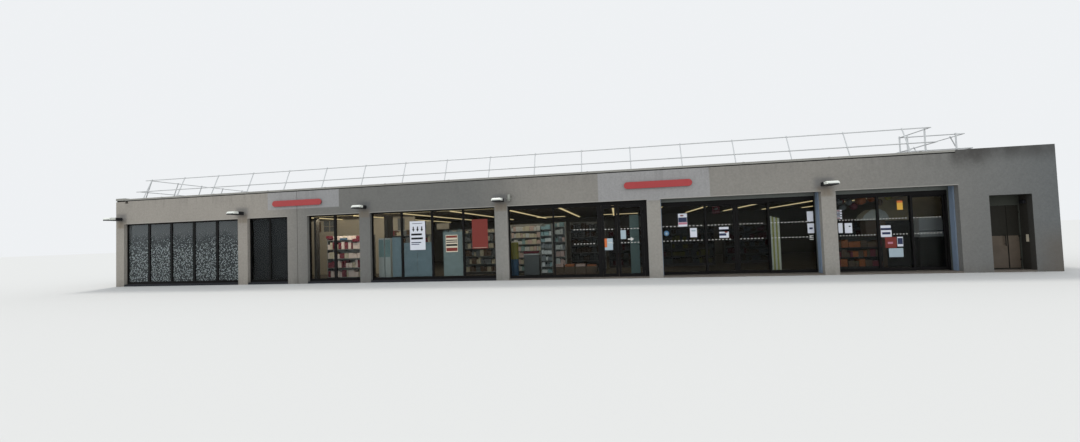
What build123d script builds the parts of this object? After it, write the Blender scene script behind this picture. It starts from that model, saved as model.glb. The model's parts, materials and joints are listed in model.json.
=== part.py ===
"""A one-storey supermarket building with a long glazed front, modelled as separate pieces.

Sizes are in millimetres. The front faces -Y, +X runs to the right along the front and +Z is up.
The origin is the centre of the footprint at ground level, wall lamps included.
"""
from math import cos, radians, sin, tan
import os

from build123d import *

os.makedirs("parts", exist_ok=True)

# Walls and floor
building_depth = 15000
wall_thickness = 200
floor_level = 60
head_height = 2965
expansion_joint_gap = 20

# Heights above the openings, each above the one before
ceiling_rise = 35
ceiling_thickness = 25
ceiling_void = 600
roof_thickness = 250
parapet_rise = 315

# Roof covering and the metal cap of the walls
covering_thickness = 30
covering_upstand = 140
coping_sheet = 5
coping_face = 70
coping_inner_face = 40
coping_joint = 5
coping_stop_before_step = 300
corner_step_length = 2540
corner_step_depth = 1900
corner_upstand_thickness = 200

# Raised block of the cap at the left end, the shadow groove under it and the overflow beside it
end_block_length = 510
end_block_rise = 45
end_block_face = 105
end_groove_height = 60
end_groove_depth = 60
overflow_gap = 20
overflow_width = 160
overflow_height = 145

# Widths along the front, from the left end to the right end
left_pier_width = 465
bay_a_width = 6305
pier_ab_width = 500
bay_b_width = 2040
joint_pier_width = 980
bay_c_width = 2510
pier_cd_width = 490
bay_d_width = 5500
pier_de_width = 530
exit_first_light = 1745
exit_second_light = 1695
exit_post_width = 160
exit_narrow_side = 604
exit_wide_side = 981
exit_jamb_width = 150
pier_ef_width = 505
way_out_left_light = 1585
way_out_left_side = 1065
way_out_right_side = 1105
way_out_right_light = 1505
pier_fg_width = 470
way_in_first_light = 1445
way_in_second_light = 1000
way_in_doorway_width = 1015
way_in_jamb_width = 95
service_wall_width = 870
service_left_side = 770
service_right_side = 355
right_end_width = 730
service_lintel_height = 400

# Window frames
window_recess = 140
frame_depth = 60
frame_width = 60
mullion_width = 120
slim_mullion_width = 90
sill_height = 90
bottom_rail = 110
glass_thickness = 20
glass_bite = 12
bay_a_panes = 5
bay_b_panes = 2
bay_c_panes = 2
bay_d_panes = 4

# Leaves of the emergency exit in bay E
exit_head_rail = 150
leaf_thickness = 50
leaf_stile = 90
leaf_bottom_rail = 110
leaf_floor_gap = 8
leaf_side_gap = 6
leaf_meeting_gap = 14

# Hinges of the leaves that swing
hinge_radius = 10
hinge_pin_radius = 6
hinge_bore_gap = 0.3
hinge_offset = 16
hinge_flag_thickness = 6
hinge_flag_reach = 38
hinge_knuckle = 60
hinge_inset = 220
pull_height = 1050
pull_length = 400
pull_standoff_spacing = 265
pull_radius = 15
pull_standoff = 60

# Automatic sliding doors in bays F and G
entrance_recess = 470
entrance_frame_depth = 70
way_mullion_width = 70
way_head_lap = 30
sliding_leaf_gap = 10
sliding_leaf_thickness = 40
sliding_leaf_overlap = 40
sliding_leaf_meeting_gap = 8
sliding_leaf_top_gap = 15
operator_ceiling_gap = 40
operator_height = 215
operator_depth = 150
operator_sheet = 5
track_height = 70
track_bead_height = 8
track_bead_width = 8
hanger_plate = 10
hanger_width = 120
hanger_side_gap = 8
hanger_wheel_radius = 28
hanger_wheel_width = 18
hanger_inset = 220
running_gap = 0.3

# Roller shutters over bays F and G
lining_thickness = 40
guide_depth = 75
guide_width = 45
guide_slot = 18
guide_wall = 5
shutter_box_height = 330
shutter_bar_height = 115
shutter_bar_thickness = 16

# Service door
service_recess = 490
service_frame_width = 45
service_frame_depth = 60
service_band_height = 340
service_leaf_thickness = 45
service_cheek = 100

# Roof guardrail, with heights above or below the top of the walls
rail_lean = 23
rail_radius = 21
rail_sides = 8
mid_rail_rise = 390
mid_rail_setback = 480
top_rail_rise = 960
post_above_rail = 45
post_foot_drop = 120
bracket_drop = 85
bracket_height = 80
bracket_width = 110
bracket_thickness = 8
bracket_arm = 34
front_first_post = 1160
front_post_spacing = 1925
front_rail_overhang = 200
left_run_inset = 280
left_post_from_front = 640
left_post_spacing = 1330
right_run_inset = 130
right_first_post = 1200
right_post_spacing = 2200
rear_post_spacing = 1925
corner_post_inset = 400
rail_corner_gap = 5

# Plumb posts of the two runs round the stepped corner
plumb_post_radius = 30
side_plumb_post_out = 820
rear_plumb_post_before = 250
rear_plumb_post_after = 1410
foot_plate = 140
foot_plate_thickness = 10

# Wall lamps
lamp_above_head = 165
lamp_reach = 650
lamp_neck_length = 100
lamp_neck_width = 90
lamp_neck_height = 60
lamp_box_width = 340
lamp_box_height = 140
lamp_box_depth = 400
lamp_tray_height = 35
lamp_cover_width = 400
lamp_cover_height = 105
lamp_cover_corner = 60
lamp_cover_crown = 50
lamp_end_shift = 100

# Small dome camera beside one lamp
camera_beside_lamp = 385
camera_above_head = 270
camera_out = 130
camera_stem_radius = 55
camera_stem_height = 160
camera_rim_radius = 95
camera_rim_height = 24
camera_dome_radius = 78
camera_arm = 40
camera_plate = 90
camera_plate_thickness = 10

# Ceiling light strips
light_strip_width = 120
light_strip_thickness = 40
light_strip_edge = 1900
light_strip_pitch = 3060
light_strip_start = 1500

# Edges of the bays along the front
bay_a_start = left_pier_width
bay_a_end = bay_a_start + bay_a_width
bay_b_start = bay_a_end + pier_ab_width
bay_b_end = bay_b_start + bay_b_width
expansion_joint_at = bay_b_end + joint_pier_width / 2
bay_c_start = bay_b_end + joint_pier_width
bay_c_end = bay_c_start + bay_c_width
bay_d_start = bay_c_end + pier_cd_width
bay_d_end = bay_d_start + bay_d_width
bay_e_start = bay_d_end + pier_de_width
exit_post_start = bay_e_start + 2 * frame_width + exit_first_light + exit_second_light
exit_post_end = exit_post_start + exit_post_width
exit_meeting_at = exit_post_end + exit_narrow_side
bay_e_end = exit_meeting_at + exit_wide_side + exit_jamb_width
bay_f_start = bay_e_end + pier_ef_width
way_out_start = bay_f_start + frame_width + way_out_left_light + way_mullion_width
way_out_middle = way_out_start + way_out_left_side
way_out_end = way_out_middle + way_out_right_side
bay_f_end = way_out_end + way_mullion_width + way_out_right_light + frame_width
bay_g_start = bay_f_end + pier_fg_width
way_in_second_start = bay_g_start + frame_width + way_in_first_light + way_mullion_width
way_in_start = way_in_second_start + way_in_second_light + way_mullion_width
way_in_end = way_in_start + way_in_doorway_width
bay_g_end = way_in_end + way_in_jamb_width
service_start = bay_g_end + service_wall_width
service_meeting_at = service_start + service_frame_width + service_left_side
service_end = service_meeting_at + service_right_side + service_frame_width
building_length = service_end + right_end_width

# Levels
ceiling_underside = head_height + ceiling_rise
roof_underside = ceiling_underside + ceiling_void
roof_top = roof_underside + roof_thickness
covering_top = roof_top + covering_thickness
wall_top = roof_top + parapet_rise
service_head = head_height - service_lintel_height
mid_rail_height = wall_top + mid_rail_rise
top_rail_height = wall_top + top_rail_rise
post_foot_height = wall_top - post_foot_drop
bracket_centre = wall_top - bracket_drop

# Stepped corner of the roof edge
corner_upstand_at = building_length - corner_step_length
coping_end_at = corner_upstand_at - coping_stop_before_step

facade = (lamp_reach - building_depth - coping_sheet) / 2
inner_left = wall_thickness
inner_right = building_length - wall_thickness
inner_rear = building_depth - wall_thickness
lean = tan(radians(rail_lean))


def along(distance):
    """X of a point at this distance from the left end of the front."""
    return distance - building_length / 2


def behind(distance):
    """Y of a point at this distance behind the face of the front wall."""
    return facade + distance


def block(x0, x1, y0, y1, z0, z1, mode=Mode.ADD):
    """A plain block between distances along, behind and above, in the open part."""
    with BuildSketch(Plane.XY.offset(z0)) as outline:
        with Locations((along((x0 + x1) / 2), behind((y0 + y1) / 2))):
            Rectangle(x1 - x0, y1 - y0)
    extrude(outline.sketch, amount=z1 - z0, mode=mode)


def finish(part, name):
    """Labels a finished piece and writes it."""
    part.label = name
    export_step(part, f"parts/{name}.step")


# Floor, with tongues that reach to the front between the piers of the door bays
with BuildPart() as ground_floor_slab:
    block(inner_left, inner_right, wall_thickness, inner_rear, 0, floor_level)
    for start, end in ((bay_e_start, bay_e_end), (bay_f_start, bay_f_end),
                       (bay_g_start, bay_g_end), (service_start, service_end)):
        block(start, end, 0, wall_thickness, 0, floor_level)
finish(ground_floor_slab.part, "ground_floor_slab")

# Front wall over the openings, in two lengths with the expansion joint between them
overflow_start = end_block_length + overflow_gap
overflow_end = overflow_start + overflow_width
overflow_top = wall_top - coping_face
overflow_bottom = overflow_top - overflow_height
end_face_bottom = wall_top + end_block_rise - end_block_face
with BuildPart() as front_fascia_left:
    block(0, expansion_joint_at - expansion_joint_gap / 2, 0, wall_thickness,
          head_height, wall_top)
    block(0, end_block_length, 0, end_groove_depth, end_face_bottom - end_groove_height,
          end_face_bottom, Mode.SUBTRACT)
    block(overflow_start, overflow_end, 0, wall_thickness, overflow_bottom, overflow_top,
          Mode.SUBTRACT)
finish(front_fascia_left.part, "front_fascia_left")

with BuildPart() as front_fascia_right:
    block(expansion_joint_at + expansion_joint_gap / 2, building_length, 0, wall_thickness,
          head_height, wall_top)
finish(front_fascia_right.part, "front_fascia_right")

pier_spans = [
    (0, bay_a_start),
    (bay_a_end, bay_b_start),
    (bay_b_end, expansion_joint_at - expansion_joint_gap / 2),
    (expansion_joint_at + expansion_joint_gap / 2, bay_c_start),
    (bay_c_end, bay_d_start),
    (bay_d_end, bay_e_start),
    (bay_e_end, bay_f_start),
    (bay_f_end, bay_g_start),
]
with BuildPart() as front_piers:
    for start, end in pier_spans:
        block(start, end, 0, wall_thickness, 0, head_height)
finish(front_piers.part, "front_piers")

# Plain wall at the right end, beside and over the service door
with BuildPart() as service_walls:
    block(bay_g_end, service_start, 0, wall_thickness, 0, head_height)
    block(service_end, building_length, 0, wall_thickness, 0, head_height)
finish(service_walls.part, "service_walls")

with BuildPart() as service_door_lintel:
    block(service_start, service_end, 0, wall_thickness, service_head, head_height)
finish(service_door_lintel.part, "service_door_lintel")

with BuildPart() as left_wall:
    block(0, wall_thickness, wall_thickness, inner_rear, 0, wall_top)
finish(left_wall.part, "left_wall")

with BuildPart() as right_wall:
    block(inner_right, building_length, wall_thickness, inner_rear, 0, wall_top)
finish(right_wall.part, "right_wall")

with BuildPart() as rear_wall:
    block(0, building_length, inner_rear, building_depth, 0, wall_top)
finish(rear_wall.part, "rear_wall")

# Roof slab and its covering, turned up against the parapet
with BuildPart() as roof_slab:
    block(inner_left, inner_right, wall_thickness, inner_rear, roof_underside, roof_top)
finish(roof_slab.part, "roof_slab")

# Inner parapet that steps the roof edge back at the right front corner
upstand_side_end = corner_upstand_at + corner_upstand_thickness
upstand_rear_start = corner_step_depth - corner_upstand_thickness
with BuildPart() as corner_upstand:
    block(corner_upstand_at, upstand_side_end, wall_thickness, corner_step_depth,
          roof_top, wall_top)
    block(upstand_side_end, inner_right, upstand_rear_start, corner_step_depth,
          roof_top, wall_top)
finish(corner_upstand.part, "corner_upstand")

with BuildPart() as roof_covering:
    with BuildSketch(Plane.XY.offset(roof_top)):
        with BuildLine():
            Polyline(
                (along(inner_left), behind(wall_thickness)),
                (along(corner_upstand_at), behind(wall_thickness)),
                (along(corner_upstand_at), behind(corner_step_depth)),
                (along(inner_right), behind(corner_step_depth)),
                (along(inner_right), behind(inner_rear)),
                (along(inner_left), behind(inner_rear)),
                close=True,
            )
        make_face()
    extrude(amount=covering_upstand)
    tray_top = roof_covering.faces().sort_by(Axis.Z)[-1]
    offset(amount=-covering_thickness, openings=tray_top)
    block(overflow_start, overflow_end, wall_thickness, wall_thickness + covering_thickness,
          overflow_bottom, roof_top + covering_upstand, Mode.SUBTRACT)
    block(upstand_side_end, inner_right, wall_thickness, upstand_rear_start,
          roof_top, covering_top)
finish(roof_covering.part, "roof_covering")

# Folded metal cap over the wall heads, in four lengths with open joints at the corners, and the
# raised block that closes its left end
with BuildPart() as coping:
    cap_top = wall_top + coping_sheet
    face_bottom = wall_top - coping_face
    inner_bottom = wall_top - coping_inner_face
    side_start = wall_thickness + coping_sheet + coping_joint
    side_end = inner_rear - coping_sheet - coping_joint
    block(end_block_length + coping_joint, coping_end_at, -coping_sheet,
          wall_thickness + coping_sheet, wall_top, cap_top)
    block(end_block_length + coping_joint, coping_end_at, -coping_sheet, 0, face_bottom,
          wall_top)
    block(end_block_length + coping_joint, coping_end_at, wall_thickness,
          wall_thickness + coping_sheet, inner_bottom, wall_top)
    block(-coping_sheet, end_block_length, -coping_sheet, wall_thickness + coping_sheet,
          wall_top, wall_top + end_block_rise)
    block(-coping_sheet, end_block_length, -coping_sheet, 0, end_face_bottom, wall_top)
    block(-coping_sheet, 0, 0, wall_thickness + coping_sheet, face_bottom, wall_top)
    for outer, inner, start in ((0, inner_left, side_start),
                                (building_length, inner_right, corner_step_depth)):
        outward = -1 if outer < inner else 1
        low, high = sorted((outer + outward * coping_sheet, inner - outward * coping_sheet))
        block(low, high, start, side_end, wall_top, cap_top)
        low, high = sorted((outer, outer + outward * coping_sheet))
        block(low, high, start, side_end, face_bottom, wall_top)
        low, high = sorted((inner, inner - outward * coping_sheet))
        block(low, high, start, side_end, inner_bottom, wall_top)
    rear_left, rear_right = -coping_sheet, building_length + coping_sheet
    block(rear_left, rear_right, inner_rear - coping_sheet, building_depth + coping_sheet,
          wall_top, cap_top)
    block(rear_left, rear_right, building_depth, building_depth + coping_sheet,
          face_bottom, wall_top)
    block(rear_left, 0, inner_rear - coping_sheet, building_depth, face_bottom, wall_top)
    block(building_length, rear_right, inner_rear - coping_sheet, building_depth,
          face_bottom, wall_top)
    block(inner_left + coping_sheet, inner_right - coping_sheet, inner_rear - coping_sheet,
          inner_rear, inner_bottom, wall_top)
finish(coping.part, "coping")


# Shop window screens: an outer frame, equal lights between mullions, and one pane in each
def light_edges(start, end, panes, mullion):
    """Left and right edges of equal lights between the outer frame members."""
    clear = end - start - 2 * frame_width - (panes - 1) * mullion
    width = clear / panes
    edges = []
    for index in range(panes):
        left = start + frame_width + index * (width + mullion)
        edges.append((left, left + width))
    return edges


def screen_frame(start, end, lights, bottom, top, lower_rail, upper_rail, front, depth):
    """Outer frame block with each light cut right through it."""
    block(start, end, front, front + depth, bottom, top)
    groove_front = front + (depth - glass_thickness) / 2
    middle_height = (bottom + lower_rail + top - upper_rail) / 2
    clear_height = top - upper_rail - bottom - lower_rail
    for left, right in lights:
        middle = (along((left + right) / 2), middle_height)
        with BuildSketch(Plane.XZ.offset(-behind(front))) as sight_opening:
            with Locations(middle):
                Rectangle(right - left, clear_height)
        extrude(sight_opening.sketch, amount=-depth, mode=Mode.SUBTRACT)
        with BuildSketch(Plane.XZ.offset(-behind(groove_front))) as groove:
            with Locations(middle):
                Rectangle(right - left + 2 * glass_bite, clear_height + 2 * glass_bite)
        extrude(groove.sketch, amount=-glass_thickness, mode=Mode.SUBTRACT)


def screen_glass(lights, bottom, top, lower_rail, upper_rail, front, depth):
    """One pane for each light, held in the groove of its frame."""
    pane_front = front + depth / 2 - glass_thickness / 2
    for left, right in lights:
        block(left - glass_bite, right + glass_bite, pane_front, pane_front + glass_thickness,
              bottom + lower_rail - glass_bite, top - upper_rail + glass_bite)


shop_windows = [
    (bay_a_start, bay_a_end, bay_a_panes, mullion_width),
    (bay_b_start, bay_b_end, bay_b_panes, slim_mullion_width),
    (bay_c_start, bay_c_end, bay_c_panes, mullion_width),
    (bay_d_start, bay_d_end, bay_d_panes, slim_mullion_width),
]
with BuildPart() as shop_window_frames:
    for start, end, panes, mullion in shop_windows:
        screen_frame(start, end, light_edges(start, end, panes, mullion), sill_height,
                     head_height, bottom_rail, frame_width, window_recess, frame_depth)
finish(shop_window_frames.part, "shop_window_frames")

with BuildPart() as shop_window_glass:
    for start, end, panes, mullion in shop_windows:
        screen_glass(light_edges(start, end, panes, mullion), sill_height, head_height,
                     bottom_rail, frame_width, window_recess, frame_depth)
finish(shop_window_glass.part, "shop_window_glass")

with BuildPart() as window_sills:
    for start, end, panes, mullion in shop_windows:
        block(start, end, 0, wall_thickness, 0, sill_height)
finish(window_sills.part, "window_sills")


# Hinges: the lower knuckle and its pin stay on the frame, the upper one turns with the leaf
def hinge_heights(bottom, top):
    """Foot of each of the three hinges of a leaf."""
    lowest = bottom + hinge_inset
    highest = top - hinge_inset - 2 * hinge_knuckle
    return [lowest, (lowest + highest) / 2, highest]


def knuckle(at, front, foot, height, radius, mode=Mode.ADD):
    """A round upright on the hinge line."""
    with BuildSketch(Plane.XY.offset(foot)) as circle:
        with Locations((along(at), behind(front - hinge_offset))):
            Circle(radius)
    extrude(circle.sketch, amount=height, mode=mode)


def hinge_half(at, front, foot, toward):
    """A knuckle with the flag that screws it to the face on one side of the hinge line."""
    knuckle(at, front, foot, hinge_knuckle, hinge_radius)
    near, far = sorted((at, at + toward * hinge_radius))
    block(near, far, front - hinge_offset, front, foot, foot + hinge_knuckle)
    near, far = sorted((at + toward * hinge_radius / 2, at + toward * hinge_flag_reach))
    block(near, far, front - hinge_flag_thickness, front, foot, foot + hinge_knuckle)


def frame_hinges(at, front, bottom, top, toward):
    """Lower knuckles with their pins."""
    for foot in hinge_heights(bottom, top):
        hinge_half(at, front, foot, toward)
        knuckle(at, front, foot + hinge_knuckle, hinge_knuckle, hinge_pin_radius)


def leaf_hinges(at, front, bottom, top, toward):
    """Upper knuckles, bored for the pins, a running gap above the lower ones."""
    for foot in hinge_heights(bottom, top):
        upper_foot = foot + hinge_knuckle + running_gap
        hinge_half(at, front, upper_foot, toward)
        knuckle(at, front, upper_foot, hinge_knuckle, hinge_pin_radius + hinge_bore_gap,
                Mode.SUBTRACT)


def pull_bar(at, front):
    """Upright pull on two stand-offs in front of a leaf."""
    with BuildSketch(Plane.XY.offset(pull_height - pull_length / 2)) as bar:
        with Locations((along(at), behind(front - pull_standoff))):
            Circle(pull_radius)
    extrude(bar.sketch, amount=pull_length)
    for height in (pull_height - pull_standoff_spacing / 2,
                   pull_height + pull_standoff_spacing / 2):
        with BuildSketch(Plane.XZ.offset(-behind(front))) as standoff:
            with Locations((along(at), height)):
                Circle(pull_radius / 2)
        extrude(standoff.sketch, amount=pull_standoff)


# Emergency exit screen in bay E: two fixed lights and an unequal pair of leaves
exit_doorway = (exit_post_end, bay_e_end - exit_jamb_width)
exit_doorway_top = head_height - exit_head_rail
exit_leaf_bottom = floor_level + leaf_floor_gap
exit_leaf_top = exit_doorway_top - leaf_side_gap
exit_mullion_at = bay_e_start + frame_width + exit_first_light
exit_lights = [
    (bay_e_start + frame_width, exit_mullion_at),
    (exit_mullion_at + frame_width, exit_post_start),
]
exit_leaves = {
    "narrow": (exit_doorway[0] + leaf_side_gap, exit_meeting_at - leaf_meeting_gap / 2),
    "wide": (exit_meeting_at + leaf_meeting_gap / 2, exit_doorway[1] - leaf_side_gap),
}
exit_hinge_left = exit_doorway[0] + leaf_side_gap / 2
exit_hinge_right = exit_doorway[1] - leaf_side_gap / 2

with BuildPart() as exit_screen_frame:
    screen_frame(bay_e_start, bay_e_end, exit_lights, floor_level, head_height, bottom_rail,
                 exit_head_rail, window_recess, frame_depth)
    with BuildSketch(Plane.XY.offset(floor_level)) as doorway:
        with Locations((along(sum(exit_doorway) / 2), behind(window_recess + frame_depth / 2))):
            Rectangle(exit_doorway[1] - exit_doorway[0], frame_depth)
    extrude(doorway.sketch, amount=exit_doorway_top - floor_level, mode=Mode.SUBTRACT)
    frame_hinges(exit_hinge_left, window_recess, exit_leaf_bottom, exit_leaf_top, -1)
    frame_hinges(exit_hinge_right, window_recess, exit_leaf_bottom, exit_leaf_top, 1)
finish(exit_screen_frame.part, "exit_screen_frame")

for side, (start, end) in exit_leaves.items():
    leaf_light = [(start + leaf_stile, end - leaf_stile)]
    with BuildPart() as exit_leaf:
        screen_frame(start, end, leaf_light, exit_leaf_bottom, exit_leaf_top, leaf_bottom_rail,
                     leaf_stile, window_recess, leaf_thickness)
        if side == "narrow":
            leaf_hinges(exit_hinge_left, window_recess, exit_leaf_bottom, exit_leaf_top, 1)
        else:
            leaf_hinges(exit_hinge_right, window_recess, exit_leaf_bottom, exit_leaf_top, -1)
            pull_bar(start + leaf_stile / 2, window_recess)
    finish(exit_leaf.part, f"exit_door_{side}_leaf")
    with BuildPart() as exit_leaf_glass:
        screen_glass(leaf_light, exit_leaf_bottom, exit_leaf_top, leaf_bottom_rail, leaf_stile,
                     window_recess, leaf_thickness)
    finish(exit_leaf_glass.part, f"exit_door_{side}_glass")

# Automatic doors: the way out in bay F and the way in in bay G
way_out_lights = [
    (bay_f_start + frame_width, way_out_start - way_mullion_width),
    (way_out_end + way_mullion_width, bay_f_end - frame_width),
]
way_in_lights = [
    (bay_g_start + frame_width, way_in_second_start - way_mullion_width),
    (way_in_second_start, way_in_start - way_mullion_width),
]
leaf_plane = entrance_recess + entrance_frame_depth + sliding_leaf_gap
sliding_leaf_bottom = floor_level + leaf_floor_gap
operator_bottom = ceiling_underside - operator_ceiling_gap - operator_height
sliding_leaf_top = operator_bottom - sliding_leaf_top_gap
way_head_bottom = sliding_leaf_top - way_head_lap
way_head_rail = ceiling_underside - way_head_bottom


def way_frame(start, end, lights, doorway):
    """Fixed frame of an automatic door, open from the floor to its head in the doorway."""
    screen_frame(start, end, lights, floor_level, ceiling_underside, bottom_rail, way_head_rail,
                 entrance_recess, entrance_frame_depth)
    with BuildSketch(Plane.XY.offset(floor_level)) as way:
        with Locations((along(sum(doorway) / 2),
                        behind(entrance_recess + entrance_frame_depth / 2))):
            Rectangle(doorway[1] - doorway[0], entrance_frame_depth)
    extrude(way.sketch, amount=way_head_bottom - floor_level, mode=Mode.SUBTRACT)


with BuildPart() as way_out_frame:
    way_frame(bay_f_start, bay_f_end, way_out_lights, (way_out_start, way_out_end))
finish(way_out_frame.part, "way_out_frame")

with BuildPart() as way_in_frame:
    way_frame(bay_g_start, bay_g_end, way_in_lights, (way_in_start, way_in_end))
finish(way_in_frame.part, "way_in_frame")

with BuildPart() as fixed_screen_glass:
    screen_glass(exit_lights, floor_level, head_height, bottom_rail, exit_head_rail,
                 window_recess, frame_depth)
    screen_glass(way_out_lights + way_in_lights, floor_level, ceiling_underside, bottom_rail,
                 way_head_rail, entrance_recess, entrance_frame_depth)
finish(fixed_screen_glass.part, "fixed_screen_glass")

# Sliding leaves hang from wheels that run on the bead of the track in the operator box
hanger_middle = leaf_plane + sliding_leaf_thickness / 2
hanger_front = hanger_middle - hanger_plate / 2
hanger_back = hanger_middle + hanger_plate / 2
track_front = hanger_back + hanger_side_gap
bead_top = operator_bottom + track_height + track_bead_height
wheel_centre = bead_top + running_gap + hanger_wheel_radius
operator_front = entrance_recess + entrance_frame_depth
operator_back = operator_front + operator_depth
operator_top = operator_bottom + operator_height


def leaf_hangers(start, end):
    """Two plates with wheels, standing on the top of a leaf."""
    for at in (start + hanger_inset, end - hanger_inset):
        block(at - hanger_width / 2, at + hanger_width / 2, hanger_front, hanger_back,
              sliding_leaf_top, wheel_centre + hanger_wheel_radius / 2)
        with BuildSketch(Plane.XZ.offset(-behind(hanger_back))) as wheel:
            with Locations((along(at), wheel_centre)):
                Circle(hanger_wheel_radius)
        extrude(wheel.sketch, amount=-hanger_wheel_width)


leaf_lap = way_mullion_width / 2 + sliding_leaf_overlap
sliding_leaves = {
    "way_out_left": (way_out_start - leaf_lap, way_out_middle - sliding_leaf_meeting_gap / 2),
    "way_out_right": (way_out_middle + sliding_leaf_meeting_gap / 2, way_out_end + leaf_lap),
    "way_in": (way_in_start - leaf_lap, way_in_end + sliding_leaf_overlap),
}
for side, (start, end) in sliding_leaves.items():
    leaf_light = [(start + leaf_stile, end - leaf_stile)]
    with BuildPart() as sliding_leaf:
        screen_frame(start, end, leaf_light, sliding_leaf_bottom, sliding_leaf_top,
                     leaf_bottom_rail, leaf_stile, leaf_plane, sliding_leaf_thickness)
    finish(sliding_leaf.part, f"{side}_leaf")
    with BuildPart() as sliding_glass:
        screen_glass(leaf_light, sliding_leaf_bottom, sliding_leaf_top, leaf_bottom_rail,
                     leaf_stile, leaf_plane, sliding_leaf_thickness)
    finish(sliding_glass.part, f"{side}_glass")
    with BuildPart() as hangers:
        leaf_hangers(start, end)
    finish(hangers.part, f"{side}_hangers")


def operator_box(start, end):
    """Folded housing with a slot for the hangers and the track along its back."""
    with BuildSketch(Plane.YZ.offset(along(start))) as section:
        with Locations((behind((operator_front + operator_back) / 2),
                        (operator_bottom + operator_top) / 2)):
            Rectangle(operator_depth, operator_height)
            Rectangle(operator_depth - 2 * operator_sheet, operator_height - 2 * operator_sheet,
                      mode=Mode.SUBTRACT)
        with Locations((behind(hanger_middle), operator_bottom)):
            Rectangle(hanger_plate + 2 * hanger_side_gap, 2 * operator_sheet, mode=Mode.SUBTRACT)
        with Locations((behind(track_front), operator_bottom)):
            Rectangle(operator_back - track_front, track_height, align=(Align.MIN, Align.MIN))
        with Locations((behind(track_front), operator_bottom + track_height)):
            Rectangle(track_bead_width, track_bead_height, align=(Align.MIN, Align.MIN))
    extrude(section.sketch, amount=end - start)


with BuildPart() as door_operators:
    operator_box(bay_f_start + frame_width, bay_f_end - frame_width)
    operator_box(bay_g_start + frame_width, bay_g_end - frame_width)
finish(door_operators.part, "door_operators")

# Roller shutters: a box behind each lintel, guides on the jambs and the rolled-up bottom bar
guide_front = entrance_recess - guide_depth
shutter_bays = ((bay_f_start, bay_f_end), (bay_g_start, bay_g_end))
with BuildPart() as entrance_linings:
    for start, end in shutter_bays:
        block(start, start + lining_thickness, wall_thickness, guide_front,
              floor_level, head_height)
        block(end - lining_thickness, end, wall_thickness, guide_front,
              floor_level, head_height)
finish(entrance_linings.part, "entrance_linings")

with BuildPart() as shutter_guides:
    for start, end in shutter_bays:
        for outer, inward in ((start, 1), (end, -1)):
            near, far = sorted((outer, outer + inward * guide_width))
            block(near, far, guide_front, entrance_recess, floor_level, head_height)
            slot_near, slot_far = sorted((outer + inward * guide_wall,
                                          outer + inward * guide_width))
            middle = (guide_front + entrance_recess) / 2
            with BuildSketch(Plane.XY.offset(floor_level)) as slot:
                with Locations((along((slot_near + slot_far) / 2), behind(middle))):
                    Rectangle(slot_far - slot_near, guide_slot)
            extrude(slot.sketch, amount=head_height - floor_level, mode=Mode.SUBTRACT)
finish(shutter_guides.part, "shutter_guides")

with BuildPart() as shutter_boxes:
    for start, end in shutter_bays:
        block(start, end, wall_thickness, entrance_recess, head_height,
              head_height + shutter_box_height)
finish(shutter_boxes.part, "shutter_boxes")

with BuildPart() as shutter_bars:
    bar_middle = (guide_front + entrance_recess) / 2
    for start, end in shutter_bays:
        block(start + guide_width + running_gap, end - guide_width - running_gap,
              bar_middle - shutter_bar_thickness / 2, bar_middle + shutter_bar_thickness / 2,
              head_height - shutter_bar_height, head_height)
finish(shutter_bars.part, "shutter_bars")

# Service door: a deep recess, a frame with a head panel and an unequal pair of solid leaves
recess_back = service_recess + service_frame_depth
with BuildPart() as service_recess_lining:
    block(service_start - service_cheek, service_start, wall_thickness, recess_back,
          floor_level, service_head + service_cheek)
    block(service_end, service_end + service_cheek, wall_thickness, recess_back,
          floor_level, service_head + service_cheek)
    block(service_start, service_end, wall_thickness, recess_back, service_head,
          service_head + service_cheek)
finish(service_recess_lining.part, "service_recess_lining")

service_doorway = (service_start + service_frame_width, service_end - service_frame_width)
service_door_top = service_head - service_band_height
with BuildPart() as service_door_frame:
    block(service_start, service_doorway[0], service_recess, recess_back, floor_level,
          service_head)
    block(service_doorway[1], service_end, service_recess, recess_back, floor_level,
          service_head)
    block(service_doorway[0], service_doorway[1], service_recess, recess_back,
          service_door_top, service_head)
    service_hinge_left = service_doorway[0] + leaf_side_gap / 2
    service_hinge_right = service_doorway[1] - leaf_side_gap / 2
    service_leaf_bottom = floor_level + leaf_floor_gap
    service_leaf_top = service_door_top - leaf_side_gap
    frame_hinges(service_hinge_left, service_recess, service_leaf_bottom, service_leaf_top, -1)
    frame_hinges(service_hinge_right, service_recess, service_leaf_bottom, service_leaf_top, 1)
finish(service_door_frame.part, "service_door_frame")

with BuildPart() as service_door_left_leaf:
    service_left_edge = service_meeting_at - leaf_meeting_gap / 2
    block(service_doorway[0] + leaf_side_gap, service_left_edge, service_recess,
          service_recess + service_leaf_thickness, service_leaf_bottom, service_leaf_top)
    leaf_hinges(service_hinge_left, service_recess, service_leaf_bottom, service_leaf_top, 1)
    pull_bar(service_left_edge - leaf_stile, service_recess)
finish(service_door_left_leaf.part, "service_door_left_leaf")

with BuildPart() as service_door_right_leaf:
    block(service_meeting_at + leaf_meeting_gap / 2, service_doorway[1] - leaf_side_gap,
          service_recess, service_recess + service_leaf_thickness,
          service_leaf_bottom, service_leaf_top)
    leaf_hinges(service_hinge_right, service_recess, service_leaf_bottom, service_leaf_top, -1)
finish(service_door_right_leaf.part, "service_door_right_leaf")


# Roof guardrail: posts that lean inward from brackets on the inner face of the parapet, and
# plumb posts on foot plates round the stepped corner
mid_offset = mid_rail_setback - wall_thickness
top_offset = mid_offset + (top_rail_height - mid_rail_height) * lean
bracket_offset = mid_offset - (mid_rail_height - bracket_centre) * lean
foot_offset = mid_offset - (mid_rail_height - post_foot_height) * lean
post_top = top_rail_height + post_above_rail


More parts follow.
